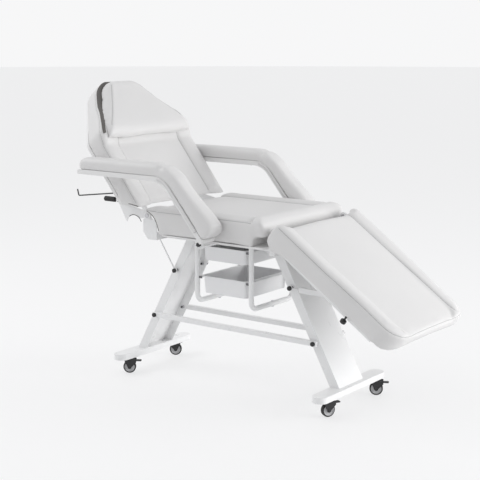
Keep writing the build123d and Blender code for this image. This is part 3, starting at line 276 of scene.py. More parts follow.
def puff(piece, voxel, cap, pressure=4.0):
    """Swells a closed shape as filled cloth: even cells, 20 frames of pressure, then each move m is made
    cap * tanh(|m| / cap) long, and one subdivision rounds the cells.
    """
    scene = bpy.context.scene
    remesh = piece.modifiers.new("cells", "REMESH")
    remesh.mode = "VOXEL"
    remesh.voxel_size = voxel
    bake(piece)
    rest = points_of(piece.data)
    cloth = piece.modifiers.new("cover", "CLOTH")
    cloth.settings.use_pressure = True
    cloth.settings.uniform_pressure_force = pressure
    cloth.settings.effector_weights.gravity = 0
    cloth.settings.quality = 4
    cloth.settings.mass = 0.4
    cloth.settings.tension_stiffness = 30
    cloth.settings.compression_stiffness = 30
    cloth.settings.bending_stiffness = 3
    cloth.point_cache.frame_start = 1
    cloth.point_cache.frame_end = 20
    for step in range(1, 21):
        scene.frame_set(step)
    bake(piece)
    scene.frame_set(1)
    move = points_of(piece.data) - rest
    size = np.linalg.norm(move, axis=1, keepdims=True)
    move *= cap * np.tanh(size / cap) / np.maximum(size, 1e-9)
    piece.data.vertices.foreach_set("co", (rest + move).ravel())
    finer = piece.modifiers.new("finer", "SUBSURF")
    finer.levels = finer.render_levels = 1
    bake(piece)
    piece.data.shade_smooth()
    return piece


def points_of(mesh):
    """Vertex places of a mesh as an array."""
    values = np.empty(len(mesh.vertices) * 3)
    mesh.vertices.foreach_get("co", values)
    return values.reshape(-1, 3)


def bake(piece):
    """Replaces a piece's mesh by the result of its modifiers."""
    graph = bpy.context.evaluated_depsgraph_get()
    graph.update()
    done = bpy.data.meshes.new_from_object(piece.evaluated_get(graph))
    piece.modifiers.clear()
    old = piece.data
    piece.data = done
    bpy.data.meshes.remove(old)


def settled(path, piece, spacing=0.002):
    """Line of even spacing through a path's points, each moved to the nearest place on a piece."""
    path = np.asarray(path, float)
    run = np.concatenate([[0], np.cumsum(np.linalg.norm(np.diff(path, axis=0), axis=1))])
    at = np.linspace(0, run[-1], max(int(run[-1] / spacing), 8))
    line = np.stack([np.interp(at, run, path[:, k]) for k in range(3)], -1)
    tree = BVHTree.FromObject(piece, bpy.context.evaluated_depsgraph_get())
    near = np.array([tuple(tree.find_nearest(Vector(p))[0]) for p in line])
    for _ in range(3):
        near[1:-1] = (near[:-2] + 2 * near[1:-1] + near[2:]) / 4
    return near


def sewn(piece, paths, depth=0.0018, reach=0.0045):
    """Draws seams into a piece: a point sinks along its normal by depth * exp(-(d / reach)^2), d from the seam.

    The run along the nearest seam and thread_reach - d are kept as the attribute thread, for the painted shade of
    the crease and for the stitches.
    """
    mesh = piece.data
    places = points_of(mesh)
    normal = np.empty(places.size)
    mesh.vertices.foreach_get("normal", normal)
    normal = normal.reshape(-1, 3)
    thread = np.zeros_like(places)
    sink = np.zeros(len(places))
    start = 0.0
    for path in paths:
        line = settled(path, piece)
        ahead = np.gradient(line, axis=0)
        step = np.linalg.norm(ahead, axis=1, keepdims=True)
        ahead /= np.maximum(step, 1e-9)
        run = start + np.concatenate([[0], np.cumsum(step[1:, 0])])
        start = run[-1] + 0.01
        inside = np.all((places > line.min(0) - thread_reach) & (places < line.max(0) + thread_reach), 1)
        picked = np.where(inside)[0]
        for part in np.array_split(picked, max(1, len(picked) // 3000)):
            offset = places[part][:, None] - line[None]
            k = (offset**2).sum(2).argmin(1)
            offset = places[part] - line[k]
            forward = (offset * ahead[k]).sum(1)
            ends = (k == 0) | (k == len(line) - 1)
            sideways = np.linalg.norm(offset - ahead[k] * forward[:, None], axis=1)
            d = np.where(ends, np.linalg.norm(offset, axis=1), sideways)
            nearness = np.maximum(thread_reach - d, 0)
            closer = nearness > thread[part, 1]
            thread[part[closer], 0] = (run[k] + forward)[closer]
            thread[part[closer], 1] = nearness[closer]
            sink[part] = np.maximum(sink[part], depth * np.exp(-((d / reach) ** 2)))
    mesh.vertices.foreach_set("co", (places - normal * sink[:, None]).ravel())
    kept = mesh.attributes.new("thread", "FLOAT_VECTOR", "POINT")
    kept.data.foreach_set("vector", thread.ravel())
    mesh.update()


# Materials


def value_socket(group, name, kind, start, inside=True):
    """One named socket of a node group."""
    way = "INPUT" if inside else "OUTPUT"
    socket = group.interface.new_socket(name=name, in_out=way, socket_type=kind)
    if inside and start is not None:
        socket.default_value = start
    return socket


def grain_group():
    """Hide-like grain: rounded cells with fine creases between them, and slow mottling of tone."""
    group = bpy.data.node_groups.new("hide grain", "ShaderNodeTree")
    value_socket(group, "Cells", "NodeSocketFloat", 700.0)
    value_socket(group, "Mottle", "NodeSocketFloat", 9.0)
    value_socket(group, "Height", "NodeSocketFloat", None, False)
    value_socket(group, "Tone", "NodeSocketFloat", None, False)
    make, link = group.nodes.new, group.links.new
    start, end = make("NodeGroupInput"), make("NodeGroupOutput")
    place = make("ShaderNodeTexCoord")
    warp = make("ShaderNodeTexNoise")
    warp.inputs["Scale"].default_value = 160
    warp.inputs["Detail"].default_value = 2
    bend = make("ShaderNodeVectorMath")
    bend.operation = "MULTIPLY_ADD"
    bend.inputs[1].default_value = (0.0012,) * 3
    link(place.outputs["Object"], warp.inputs["Vector"])
    link(warp.outputs["Color"], bend.inputs[0])
    link(place.outputs["Object"], bend.inputs[2])
    cells = make("ShaderNodeTexVoronoi")
    cells.feature = "DISTANCE_TO_EDGE"
    link(bend.outputs["Vector"], cells.inputs["Vector"])
    link(start.outputs["Cells"], cells.inputs["Scale"])
    crease = make("ShaderNodeMapRange")
    crease.interpolation_type = "SMOOTHSTEP"
    crease.inputs["From Max"].default_value = 0.22
    link(cells.outputs["Distance"], crease.inputs["Value"])
    link(crease.outputs["Result"], end.inputs["Height"])
    mottle = make("ShaderNodeTexNoise")
    mottle.inputs["Detail"].default_value = 4
    link(place.outputs["Object"], mottle.inputs["Vector"])
    link(start.outputs["Mottle"], mottle.inputs["Scale"])
    link(mottle.outputs["Fac"], end.inputs["Tone"])
    return group


def speckle_group():
    """Moulded or sprayed skin: fine orange peel as a height, and faint cloudy dust as a tone."""
    group = bpy.data.node_groups.new("coat skin", "ShaderNodeTree")
    value_socket(group, "Peel", "NodeSocketFloat", 500.0)
    value_socket(group, "Cloud", "NodeSocketFloat", 14.0)
    value_socket(group, "Height", "NodeSocketFloat", None, False)
    value_socket(group, "Tone", "NodeSocketFloat", None, False)
    make, link = group.nodes.new, group.links.new
    start, end = make("NodeGroupInput"), make("NodeGroupOutput")
    place = make("ShaderNodeTexCoord")
    for inside, outside, detail in (("Peel", "Height", 1), ("Cloud", "Tone", 5)):
        noise = make("ShaderNodeTexNoise")
        noise.inputs["Detail"].default_value = detail
        link(place.outputs["Object"], noise.inputs["Vector"])
        link(start.outputs[inside], noise.inputs["Scale"])
        link(noise.outputs["Fac"], end.inputs[outside])
    return group


def thread_group():
    """Sewn seam from the attribute thread, whose Y is thread_reach - d: a smooth crease below d = 3 mm whose
    darkening is painted shade, a row of stitches at stitch_row, and puckers of sin(330 x + 14 noise) that fade
    out at 22 mm.
    """
    group = bpy.data.node_groups.new("seam thread", "ShaderNodeTree")
    for name in ("Painted crease shade", "Stitch", "Height"):
        value_socket(group, name, "NodeSocketFloat", None, False)
    make, link = group.nodes.new, group.links.new
    end = make("NodeGroupOutput")
    kept = make("ShaderNodeAttribute")
    kept.attribute_name = "thread"
    parts = make("ShaderNodeSeparateXYZ")
    link(kept.outputs["Vector"], parts.inputs[0])

    def math_node(kind, first, second=None, third=None):
        node = make("ShaderNodeMath")
        node.operation = kind
        for k, value in enumerate((first, second, third)):
            if value is None:
                continue
            if isinstance(value, (int, float)):
                node.inputs[k].default_value = value
            else:
                link(value, node.inputs[k])
        return node.outputs[0]

    distance = math_node("SUBTRACT", thread_reach, parts.outputs["Y"])
    # The crease mask darkens only the colour: painted shade in the seam's groove
    crease = make("ShaderNodeMapRange")
    crease.interpolation_type = "SMOOTHSTEP"
    crease.inputs["From Min"].default_value = 0.0030
    crease.inputs["From Max"].default_value = 0.0006
    link(distance, crease.inputs["Value"])
    row = math_node("ABSOLUTE", math_node("SUBTRACT", distance, stitch_row))
    beside = math_node("LESS_THAN", row, stitch_half)
    beat = math_node("FRACT", math_node("MULTIPLY", parts.outputs["X"], stitches_per_metre))
    stitch = math_node("MULTIPLY", beside, math_node("LESS_THAN", beat, stitch_share))
    place = make("ShaderNodeTexCoord")
    uneven = make("ShaderNodeTexNoise")
    uneven.inputs["Scale"].default_value = 40
    link(place.outputs["Object"], uneven.inputs["Vector"])
    wander = math_node("MULTIPLY", uneven.outputs["Fac"], 14.0)
    phase = math_node("MULTIPLY_ADD", parts.outputs["X"], 330.0, wander)
    close = make("ShaderNodeMapRange")
    close.interpolation_type = "SMOOTHSTEP"
    close.inputs["From Min"].default_value = 0.022
    close.inputs["From Max"].default_value = 0.004
    link(distance, close.inputs["Value"])
    pucker = math_node("MULTIPLY", math_node("SINE", phase), close.outputs["Result"])
    height = math_node("MULTIPLY_ADD", pucker, 0.35, stitch)
    link(crease.outputs["Result"], end.inputs["Painted crease shade"])
    link(stitch, end.inputs["Stitch"])
    link(height, end.inputs["Height"])
    return group


hide_grain = grain_group()
coat_skin = speckle_group()
seam_thread = thread_group()


def finish(name, group, scales, tones, rough, bump, metal=0.0, coat=0.0, seam=False):
    """Material whose colour and roughness drift between two values with the group's tone."""
    material = bpy.data.materials.new(name)
    material.use_nodes = True
    tree = material.node_tree
    make, link = tree.nodes.new, tree.links.new
    shader = tree.nodes["Principled BSDF"]
    effect = make("ShaderNodeGroup")
    effect.node_tree = group
    for socket, value in zip(effect.inputs, scales):
        socket.default_value = value
    colour = make("ShaderNodeMix")
    colour.data_type = "RGBA"
    colour.inputs[6].default_value = (*tones[0], 1)
    colour.inputs[7].default_value = (*tones[1], 1)
    link(effect.outputs["Tone"], colour.inputs[0])
    shown = colour.outputs[2]
    relief = make("ShaderNodeBump")
    if seam:
        sewing = make("ShaderNodeGroup")
        sewing.node_tree = seam_thread
        # The crease layer darkens the cover to 0.62 of its tone as painted shade; the stitch layer is the
        # thread's own darker tone
        for output, tint in (("Painted crease shade", 0.62), ("Stitch", 0.92)):
            layer = make("ShaderNodeMix")
            layer.data_type = "RGBA"
            layer.inputs[7].default_value = (*(tint * part for part in tones[0]), 1)
            link(sewing.outputs[output], layer.inputs[0])
            link(shown, layer.inputs[6])
            shown = layer.outputs[2]
        folds = make("ShaderNodeBump")
        folds.inputs["Strength"].default_value = 0.5
        folds.inputs["Distance"].default_value = 0.0007
        link(sewing.outputs["Height"], folds.inputs["Height"])
        link(folds.outputs["Normal"], relief.inputs["Normal"])
    link(shown, shader.inputs["Base Color"])
    gloss = make("ShaderNodeMapRange")
    gloss.inputs["To Min"].default_value = rough[0]
    gloss.inputs["To Max"].default_value = rough[1]
    link(effect.outputs["Tone"], gloss.inputs["Value"])
    link(gloss.outputs["Result"], shader.inputs["Roughness"])
    relief.inputs["Strength"].default_value = bump[0]
    relief.inputs["Distance"].default_value = bump[1]
    link(effect.outputs["Height"], relief.inputs["Height"])
    link(relief.outputs["Normal"], shader.inputs["Normal"])
    shader.inputs["Metallic"].default_value = metal
    shader.inputs["Coat Weight"].default_value = coat
    return material


white_hide = finish(
    "white coated hide", hide_grain, (620, 7), ((0.70, 0.692, 0.688), (0.735, 0.728, 0.722)), (0.40, 0.50),
    (0.22, 0.0004), seam=True,
)
white_paint = finish(
    "white sprayed steel", coat_skin, (420, 14), ((0.85, 0.85, 0.85), (0.88, 0.88, 0.88)), (0.24, 0.34),
    (0.08, 0.0003), coat=0.2,
)
tray_white = finish(
    "white moulded tray", coat_skin, (900, 10), ((0.84, 0.84, 0.845), (0.87, 0.87, 0.875)), (0.3, 0.42),
    (0.1, 0.0002),
)
covered_board = finish(
    "white covered board", hide_grain, (620, 9), ((0.78, 0.775, 0.77), (0.83, 0.825, 0.82)), (0.45, 0.55),
    (0.2, 0.0004),
)
# Dark colour that stands for shade: the layer under the pillow and the lines round the near hinge are painted
# shade
painted_shade_dark = finish(
    "dark painted shade", coat_skin, (1400, 20), ((0.095, 0.090, 0.085), (0.130, 0.122, 0.115)), (0.6, 0.8),
    (0.3, 0.0005),
)
black_moulded = finish(
    "black moulded knob", coat_skin, (1800, 18), ((0.012, 0.012, 0.013), (0.022, 0.022, 0.023)), (0.35, 0.5),
    (0.25, 0.0003),
)
black_rubber = finish(
    "black rubber", coat_skin, (1500, 22), ((0.014, 0.014, 0.014), (0.03, 0.03, 0.03)), (0.6, 0.8), (0.3, 0.0003)
)
dark_wire = finish(
    "dark painted wire", coat_skin, (900, 18), ((0.02, 0.02, 0.022), (0.04, 0.04, 0.042)), (0.3, 0.45),
    (0.15, 0.0002),
)
bright_zinc = finish(
    "bright zinc", coat_skin, (900, 30), ((0.55, 0.55, 0.57), (0.68, 0.68, 0.7)), (0.25, 0.4), (0.1, 0.0002),
    metal=1.0,
)
grey_moulded = finish(
    "grey moulded cap", coat_skin, (1500, 20), ((0.13, 0.13, 0.135), (0.19, 0.19, 0.195)), (0.4, 0.55),
    (0.2, 0.0002),
)
grey_rim = finish(
    "grey moulded rim", coat_skin, (1200, 20), ((0.50, 0.50, 0.51), (0.58, 0.58, 0.59)), (0.4, 0.55),
    (0.2, 0.0002),
)


def paint(piece, material):
    """Gives a piece one material in every slot."""
    if piece.data.materials:
        for k in range(len(piece.data.materials)):
            piece.data.materials[k] = material
    else:
        piece.data.materials.append(material)


def node_material(name):
    """Finish of a node that keeps its own shape, by what it is."""
    if name in ("hinge_pins", "leg_nuts", "plate_bolts", "caster_stems"):
        return bright_zinc
    if name.endswith("board"):
        return covered_board
    if name.endswith("tray"):
        return tray_white
    if name.endswith("rim"):
        return grey_rim
    if name.endswith("tyre") or name == "lever_grip":
        return black_rubber
    if name in ("roll_holder_arms", "release_lever"):
        return dark_wire
    if name == "runner_caps":
        return grey_moulded
    if name == "frame_bolts" or name.endswith(("knob", "housing", "pedal")):
        return black_moulded
    return white_paint


for name, node in nodes.items():
    paint(node, node_material(name))

# Padded pieces


def mirrored_ring(right, count):
    """Closed smooth cross-section from its right half, whose across shares are mirrored for the left half."""
    right = np.array(right)
    left = right[1:-1][::-1] * (-1, 1, 1)
    return spline_ring(np.concatenate([right, left]), count)


def bolstered_ring(count, inner_share, waist_share):
    """Cross-section as (across, height, dip) shares: flat base, pulled-in sides, bolsters, sunk middle."""
    right = [
        (0.00, 0.00, 0.0),
        (0.60, 0.00, 0.0),
        (waist_share - 0.03, 0.00, 0.0),
        (waist_share, 0.02, 0.0),
        (waist_share + 0.008, 0.20, 0.0),
        (0.988, 0.50, 0.0),
        (1.004, 0.74, 0.0),
        (0.990, 0.94, 0.0),
        (0.940, 1.02, 0.0),
        (0.880, 1.02, 0.0),
        (0.820, 1.01, 0.0),
        (inner_share + 0.05, 0.99, 0.15),
        (inner_share + 0.014, 1.00, 0.90),
        (inner_share, 1.00, 1.10),
        (inner_share - 0.02, 1.00, 1.06),
        (inner_share - 0.12, 1.00, 0.97),
        (inner_share - 0.35, 1.00, 0.82),
        (0.00, 1.00, 0.74),
    ]
    return mirrored_ring(right, count)


def padded_rows(s, ring, half, low, high, dip, rounds):
    """Rings along s. Across = ring * (half - inset); height runs from low to high less the end insets."""
    top_in, base_in, side_in = rounds
    across = ring[:, 0] * (half - side_in)[:, None]
    base = (low + base_in)[:, None]
    tall = (high - top_in)[:, None] - base
    height = base + ring[:, 1] * tall - ring[:, 2] * dip[:, None]
    along = np.broadcast_to(s[:, None], across.shape)
    return np.stack([along, across, height], -1)


def seat_grid():
    """Seat: scooped behind by a circle, bolstered at the sides, with a full roll along the front.

    The scoop's height is z + sqrt(r^2 - (s - x)^2). A groove of exp(-u^2) parts the roll, the underside steps
    up below it, and the sides are pulled in by 0.004 * exp(-(s / 0.25)^2).
    """
    s = crowded(seat_start, seat_end, 90)
    ring = bolstered_ring(132, seat_bolster, 0.968)
    roll_start = seat_end - roll_length
    scoop = scoop_z + np.sqrt(np.maximum(scoop_radius**2 - (s - scoop_x) ** 2, 0))
    inside = np.abs(s - scoop_x) < scoop_radius
    low = np.where(inside, np.maximum(scoop, seat_top - seat_thick), seat_top - seat_thick)
    low = low + (seat_thick - roll_tall) * eased(s, roll_start + 0.002, roll_start + 0.012)
    front = seat_end - s
    roll = eased(front, roll_length + 0.004, roll_length - 0.016)
    groove = np.exp(-(((front - roll_length) / 0.005) ** 2))
    high = seat_top + 0.004 * roll - 0.010 * groove
    dip = seat_dip * (1 - roll)
    half = half_width - 0.004 * np.exp(-((s / 0.25) ** 2))
    rear = s - seat_start
    top_in = round_end(rear, 0.012) + round_end(front, 0.034)
    base_in = round_end(front, 0.018)
    side_in = round_end(rear, 0.010) + round_end(front, 0.022)
    grid = padded_rows(s, ring, half, low, high, dip, (top_in, base_in, side_in))
    return capped(grid, 6, 0.003)


def head_line(at):
    """Height of the backrest's front: level, then a swell of 1 - t^2 behind the neck and a dip to the crown."""
    neck = straight_long - head_corner
    middle = neck + (back_long - neck) * 0.58
    crown = back_long - crown_inset
    swell = 1 - ((at - (neck + middle) / 2) / ((middle - neck) / 2)) ** 2
    beyond = np.clip((at - middle) / (crown - middle), 0, 1.1)
    rise = head_swell * np.clip(swell, 0, 1) * (at < middle)
    return back_front + rise - 2 * head_sink * beyond * (1.25 - beyond)


def head_side(s):
    """Half width of the head's plan: level, then a straight taper to the crown."""
    places = np.array((0, straight_long, back_long)) + back_start
    return flowing(s, places, (half_width, half_width, head_half), 0.02)


def back_grid():
    """Backrest: level lower end, tapered head whose front swells and dips in profile, rounded crown.

    The lower end is sheared along the panel by (front - height) / tan(rise), fading out over 0.24, so that its
    face lies level over the seat.
    """
    top = back_start + back_long
    s = crowded(back_start, top, 100)
    ring = bolstered_ring(132, back_bolster, 0.968)
    at = s - back_start
    half = head_side(s)
    high = head_line(at) + head_cover * eased(at, 0.30, 0.36)
    low = np.full_like(s, back_rear)
    end = top - s
    dip = back_dip * (1 - eased(at, 0.33, 0.40))
    top_in = round_end(end, crown_inset, (back_front - back_rear) / 2)
    base_in = top_in
    side_in = round_end(end, head_corner)
    grid = padded_rows(s, ring, half, low, high, dip, (top_in, base_in, side_in))
    grid = capped(grid, 6, 0.003)
    lean = 1 / math.tan(math.radians(back_rise))
    fade = 1 - eased(grid[..., 0] - back_start, 0.0, 0.24)
    grid[..., 0] += (back_front - grid[..., 2]) * lean * fade
    return on_panel(grid, back_pivot, -1, back_rise)


def pillow_front(s):
    """Half width of the pillow's front face, from its readings along the backrest."""
    return flowing(s, pillow_front_run, pillow_front_half, 0.008)


def pillow_grid():
    """Pillow: a neck wall that rises as sin^0.8, a crest, and sides that lean in from the base to the front.

    Across = ring * (base half * (1 - h) + front half * h) with h the height share. The lower edge bows
    towards the seat by 0.028 * (1 - (across / half)^2), and the crest by about a third of that.
    """
    low_end, high_end = pillow_long
    s = crowded(low_end, high_end, 84)
    ring = pillow_ring(112)
    base = flowing(s, pillow_base_run, pillow_base_half, 0.012)
    front = pillow_front(s)
    low = head_line(s - back_start) + head_cover + shade_layer_thick - 0.003
    high = flowing(s, pillow_top_run, pillow_top, 0.02)
    start, end = s - low_end, high_end - s
    tall = high - low
    wall = 1 - np.sin(np.pi / 2 * np.clip(start / pillow_wall, 0, 1)) ** 0.8
    top_in = tall * 0.74 * wall + round_end(end, 0.050, np.max(tall[-3:]) - 0.004)
    side_in = round_end(end, 0.055) + round_end(start, 0.006)
    height = low[:, None] + ring[:, 1] * (tall - top_in)[:, None]
    share = ring[:, 1][None, :] * np.ones_like(height)
    across = ring[:, 0] * (base[:, None] * (1 - share) + front[:, None] * share - side_in[:, None])
    bow = 1 - (across / half_width) ** 2
    fade = 1 - eased(s, low_end + 0.01, low_end + 0.10)
    along = s[:, None] - bow * (0.028 - 0.018 * eased(share, 0, 0.8)) * fade[:, None]
    return capped(np.stack([along, across, height], -1), 5, 0.001)


def shade_layer_grid():
    """Thin dark layer between the pillow and the head, painted shade, as wide as the head, ending just short of
    the crown.
    """
    top = back_start + back_long - 0.004
    s = crowded(shade_layer_start, top, 70)
    low = head_line(s - back_start) + head_cover - 0.003
    high = low + shade_layer_thick + 0.003
    side_in = round_end(top - s, head_corner) + 0.006 + 0.010 * (1 - eased(s, 0.39, 0.47))
    rounds = (round_end(top - s, crown_inset, 0.004), np.zeros_like(s), side_in)
    grid = padded_rows(s, pillow_ring(96), head_side(s), low, high, np.zeros_like(s), rounds)
    return capped(grid, 4, 0.0)


def pillow_ring(count):
    """Cross-section of a flat pad as (across, height, dip) shares: rounded sides and a gentle crown."""
    right = [
        (0.00, 0.00, 0.0),
        (0.60, 0.00, 0.0),
        (0.94, 0.00, 0.0),
        (0.99, 0.02, 0.0),
        (1.00, 0.22, 0.0),
        (1.004, 0.50, 0.0),
        (1.004, 0.80, 0.0),
        (0.985, 1.00, 0.0),
        (0.94, 1.02, 0.0),
        (0.60, 1.03, 0.0),
        (0.00, 1.03, 0.0),
    ]
    return mirrored_ring(right, count)


def legrest_grid():
    """Legrest with its board in one cover: bolstered, rounded at the foot, its sides leaning in to the foot.

    Outside the hinges the end bulges by cheek * (1 - t^4)^(1/4), with t the height from the middle as a share
    of half the thickness, and the underside by lobe * exp(-u^2), with u the distance along from the lobe.
    """
    s = crowded(leg_start, leg_end, 96)
    ring = bolstered_ring(132, seat_bolster, 0.985)
    start, end = s - leg_start, leg_end - s
    half = half_width - 0.003 * np.exp(-(((s - 0.34) / 0.25) ** 2))
    high = np.full_like(s, leg_front)
    low = np.full_like(s, leg_rear)
    dip = leg_dip * (1 - 0.25 * eased(end, 0.03, 0.0))
    top_in = round_end(start, 0.020) + round_end(end, 0.014)
    base_in = round_end(start, 0.018) + round_end(end, 0.050, 0.042)
    side_in = round_end(start, 0.008) + round_end(end, leg_corner)
    grid = padded_rows(s, ring, half, low, high, dip, (top_in, base_in, side_in))
    grid = capped(grid, 6, 0.003)
    share = np.clip((grid[..., 2] - leg_rear) / (leg_front - leg_rear), 0, 1)
    grid[..., 1] *= 1 - leg_lean * share * eased(grid[..., 0], *leg_lean_run)
    beyond = eased(np.abs(grid[..., 1]), *leg_hinge_side)
    outside = beyond * (1 - eased(grid[..., 0], leg_start, leg_start + 0.10))
    away = (grid[..., 0] - leg_lobe_place) / leg_lobe_reach
    grid[..., 2] -= leg_lobe * beyond * (1 - share) * np.exp(-(away**2))
    middle = (leg_front + leg_rear) / 2
    offset = np.abs(grid[..., 2] - middle) / (leg_front - middle + 0.008)
    grid[..., 0] -= leg_cheek * outside * np.maximum(1 - offset**4, 0) ** 0.25
    return on_legrest(grid)


def armrest_line(distance, steps=110):
    """Line that follows the armrest at a distance above its lower edge: straight, arc, straight."""
    slope = math.radians(arm_slope)
    corner = arm_corner - arm_thick / 2 * math.tan(slope / 2)
    radius = arm_bend - arm_thick / 2 + distance
    at = np.array([corner + distance * math.tan(slope / 2), arm_bottom + distance])
    cut = radius * math.tan(slope / 2)
    run = at[0] - cut - arm_rear
    arc = radius * slope
    t = crowded(0, run + arc + arm_slope_run(), steps)
    turn = np.clip((t - run) / radius, 0, slope)
    x = arm_rear + np.minimum(t, run) + radius * np.sin(turn)
    z = at[1] - radius * (1 - np.cos(turn))
    beyond = np.maximum(t - run - arc, 0)
    x = x + beyond * math.cos(slope)
    z = z - beyond * math.sin(slope)
    return t, np.stack([x, z], -1), turn


def arm_slope_run():
    """Length of the armrest's sloping run, from the bend's end to the tip."""
    return arm_tip - (arm_bend - arm_thick / 2) * math.tan(math.radians(arm_slope) / 2)


def past_bend(t):
    """How far each station of the armrest's line lies past the bend."""
    return t - (t[-1] - arm_slope_run())


def armrest_grid(side):
    """Armrest pad: rounded section carried along straight, bend and slope, with rounded ends.

    Two pleats across the bend sink the top by depth * exp(-((turn - place) / 0.06)^2).
    """
    t, line, turn = armrest_line(arm_board)
    ring = armrest_ring(80)
    start, end = t - t[0], t[-1] - t
    thick = arm_thick - arm_board + arm_swell * eased(past_bend(t), 0.02, 0.24)
    side_in = round_end(start, 0.036) + round_end(end, 0.014)
    top_in = round_end(start, 0.046, 0.032) + round_end(end, 0.030, 0.040)
    base_in = round_end(start, 0.010) + round_end(end, 0.020, 0.026) + 0.0004
    across = ring[:, 0] * (arm_wide / 2 - side_in)[:, None]
    height = base_in[:, None] + ring[:, 1] * (thick - top_in - base_in)[:, None]
    pleat = sum(depth * np.exp(-(((turn - place) / 0.06) ** 2)) for place, depth in arm_pleats)
    height = height - pleat[:, None] * np.clip(ring[:, 1] * 2 - 0.6, 0, 1)
    x = line[:, :1] + height * np.sin(turn)[:, None]
    z = line[:, 1:] + height * np.cos(turn)[:, None]
    y = side * (arm_inner + arm_wide / 2) + across
    grid = np.stack([x + shift, y, z], -1)
    return capped(grid, 5, 0.002)


def armrest_ring(count):
    """Cross-section of an armrest pad as (across, height, dip) shares: flat base, full round shoulders."""
    right = [
        (0.00, 0.00, 0.0),
        (0.70, 0.00, 0.0),
        (0.96, 0.00, 0.0),
        (0.995, 0.03, 0.0),
        (1.00, 0.26, 0.0),
        (1.01, 0.52, 0.0),
        (0.96, 0.82, 0.0),
        (0.78, 1.00, 0.0),
        (0.40, 1.05, 0.0),
        (0.00, 1.06, 0.0),
    ]
    return mirrored_ring(right, count)


def moved_x(grid):
    """Grid drawn about the middle between the hinges, moved to the row frame."""
    return grid + np.array([shift, 0.0, 0.0])


def pad(name, grid, stands_for, body, cells, cap, seams=(), cover=white_hide):
    piece = grid_mesh(name, grid)
    if cap:
        puff(piece, cells, cap)
    paint(piece, cover)
    if seams:
        sewn(piece, seams)
    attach(piece, body)
    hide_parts(*stands_for)
    return piece


def line_on(place, s, across, height):
    """Path of (length, across, height) stations carried to the row frame by a panel's placing function."""
    s = np.asarray(s, float)
    path = np.stack([s, np.broadcast_to(across, s.shape), np.broadcast_to(height, s.shape)], -1)
    return place(path)


def on_back(path):
    """Path on the backrest's panel."""
    return on_panel(path, back_pivot, -1, back_rise)


def on_legrest(path):
    """Path on the legrest's panel."""
    return on_panel(path, leg_pivot, 1, leg_rise)


def seat_seams():
    """Seams of the seat: along both side edges, inside both bolsters and along the front roll."""
    roll = seat_end - roll_length
    s = np.linspace(seat_start + 0.004, roll, 60)
    paths = [line_on(moved_x, s, side * (half_width - seam_side), seat_top - 2 * seam_drop) for side in (-1, 1)]
    paths += [line_on(moved_x, s, side * half_width * seat_bolster, seat_top - seam_drop) for side in (-1, 1)]
    wide = np.linspace(-half_width, half_width, 60)
    paths += [moved_x(np.stack([np.full(60, roll), wide, np.full(60, seat_top - 0.004)], -1))]
    return paths


def back_seams():
    """Seams of the backrest: along both side edges up the taper, and inside both bolsters."""
    s = np.linspace(back_start + 0.03, back_start + back_long - 0.05, 90)
    half, high = head_side(s) - seam_side, head_line(s - back_start) - seam_drop
    paths = [line_on(on_back, s, side * half, high) for side in (-1, 1)]
    body = np.linspace(back_start + 0.03, back_start + straight_long + 0.01, 60)
    inner = half_width * back_bolster
    return paths + [line_on(on_back, body, side * inner, back_front - seam_drop) for side in (-1, 1)]


def legrest_seams():
    """Seams of the legrest: round the edge with its foot corners, and inside both bolsters."""
    turn = np.linspace(0, np.pi / 2, 16)
    run = np.linspace(leg_start + 0.004, leg_end - leg_corner, 60)
    bent = leg_end - leg_corner + leg_corner * np.sin(turn)
    across = half_width - leg_corner + leg_corner * np.cos(turn)
    s = np.concatenate([run, bent, bent[::-1], run[::-1]])
    y = np.concatenate([np.full(60, half_width), across, -across[::-1], np.full(60, -half_width)])
    y = y * (1 - 0.010 - leg_lean * eased(s, *leg_lean_run))
    paths = [on_legrest(np.stack([s, y, np.full(len(s), leg_front - 0.001)], -1))]
    body = np.linspace(leg_start + 0.004, leg_end - 0.03, 60)
    inner = half_width * seat_bolster
    return paths + [line_on(on_legrest, body, side * inner, leg_front - seam_drop) for side in (-1, 1)]


def pillow_seams():
    """Seams of the pillow: along both front side edges."""
    s = np.linspace(0.412, 0.63, 70)
    return [line_on(on_back, s, side * (pillow_front(s) - seam_side), 0.079) for side in (-1, 1)]


def armrest_edging(side, edge):
    """Strip of cover turned down over the board's side: a flat band carried along the bend and the slope."""
    t, low, turn = armrest_line(arm_board - 0.011)
    _, high, _ = armrest_line(arm_board + 0.003)
    kept = (turn > 0.12) & (past_bend(t) < arm_tip * 0.70)
    low, high = low[kept], high[kept]
    inner, outer = side * (arm_inner + arm_wide / 2) + edge * (arm_wide / 2 + np.array([-0.0036, -0.0006]))
    corners = [(low, inner), (low, outer), (high, outer), (high, inner)]
    rings = np.stack([np.stack([p[:, 0], np.full(len(p), y), p[:, 1]], -1) for p, y in corners], 1)
    return moved_x(capped(rings, 1, 0.0))


def bolt_head(name, centre, axis, radius, tall):
    """Domed bolt head: rings of radius * cos a at tall * sin a above a short rim, turned about its axis."""
    a = np.linspace(0, np.pi / 2, 7)
    rise = np.concatenate([[0], 0.35 * tall + 0.65 * tall * np.sin(a)])
    wide = np.concatenate([[radius], radius * np.maximum(np.cos(a), 0.02)])
    spin = np.linspace(0, 2 * np.pi, 20, endpoint=False)
    axis = np.asarray(axis, float) / np.linalg.norm(axis)
    first = np.cross(axis, (0.3, 0.9, 0.2))
    first /= np.linalg.norm(first)
    second = np.cross(axis, first)
    ring = np.cos(spin)[:, None] * first + np.sin(spin)[:, None] * second
    rings = np.asarray(centre) + wide[:, None, None] * ring[None] + rise[:, None, None] * axis
    return grid_mesh(name, capped(rings, 1, 0.0))


def trim(piece, material, body):
    """Paints a small piece and sets it on its body."""
    paint(piece, material)
    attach(piece, body)


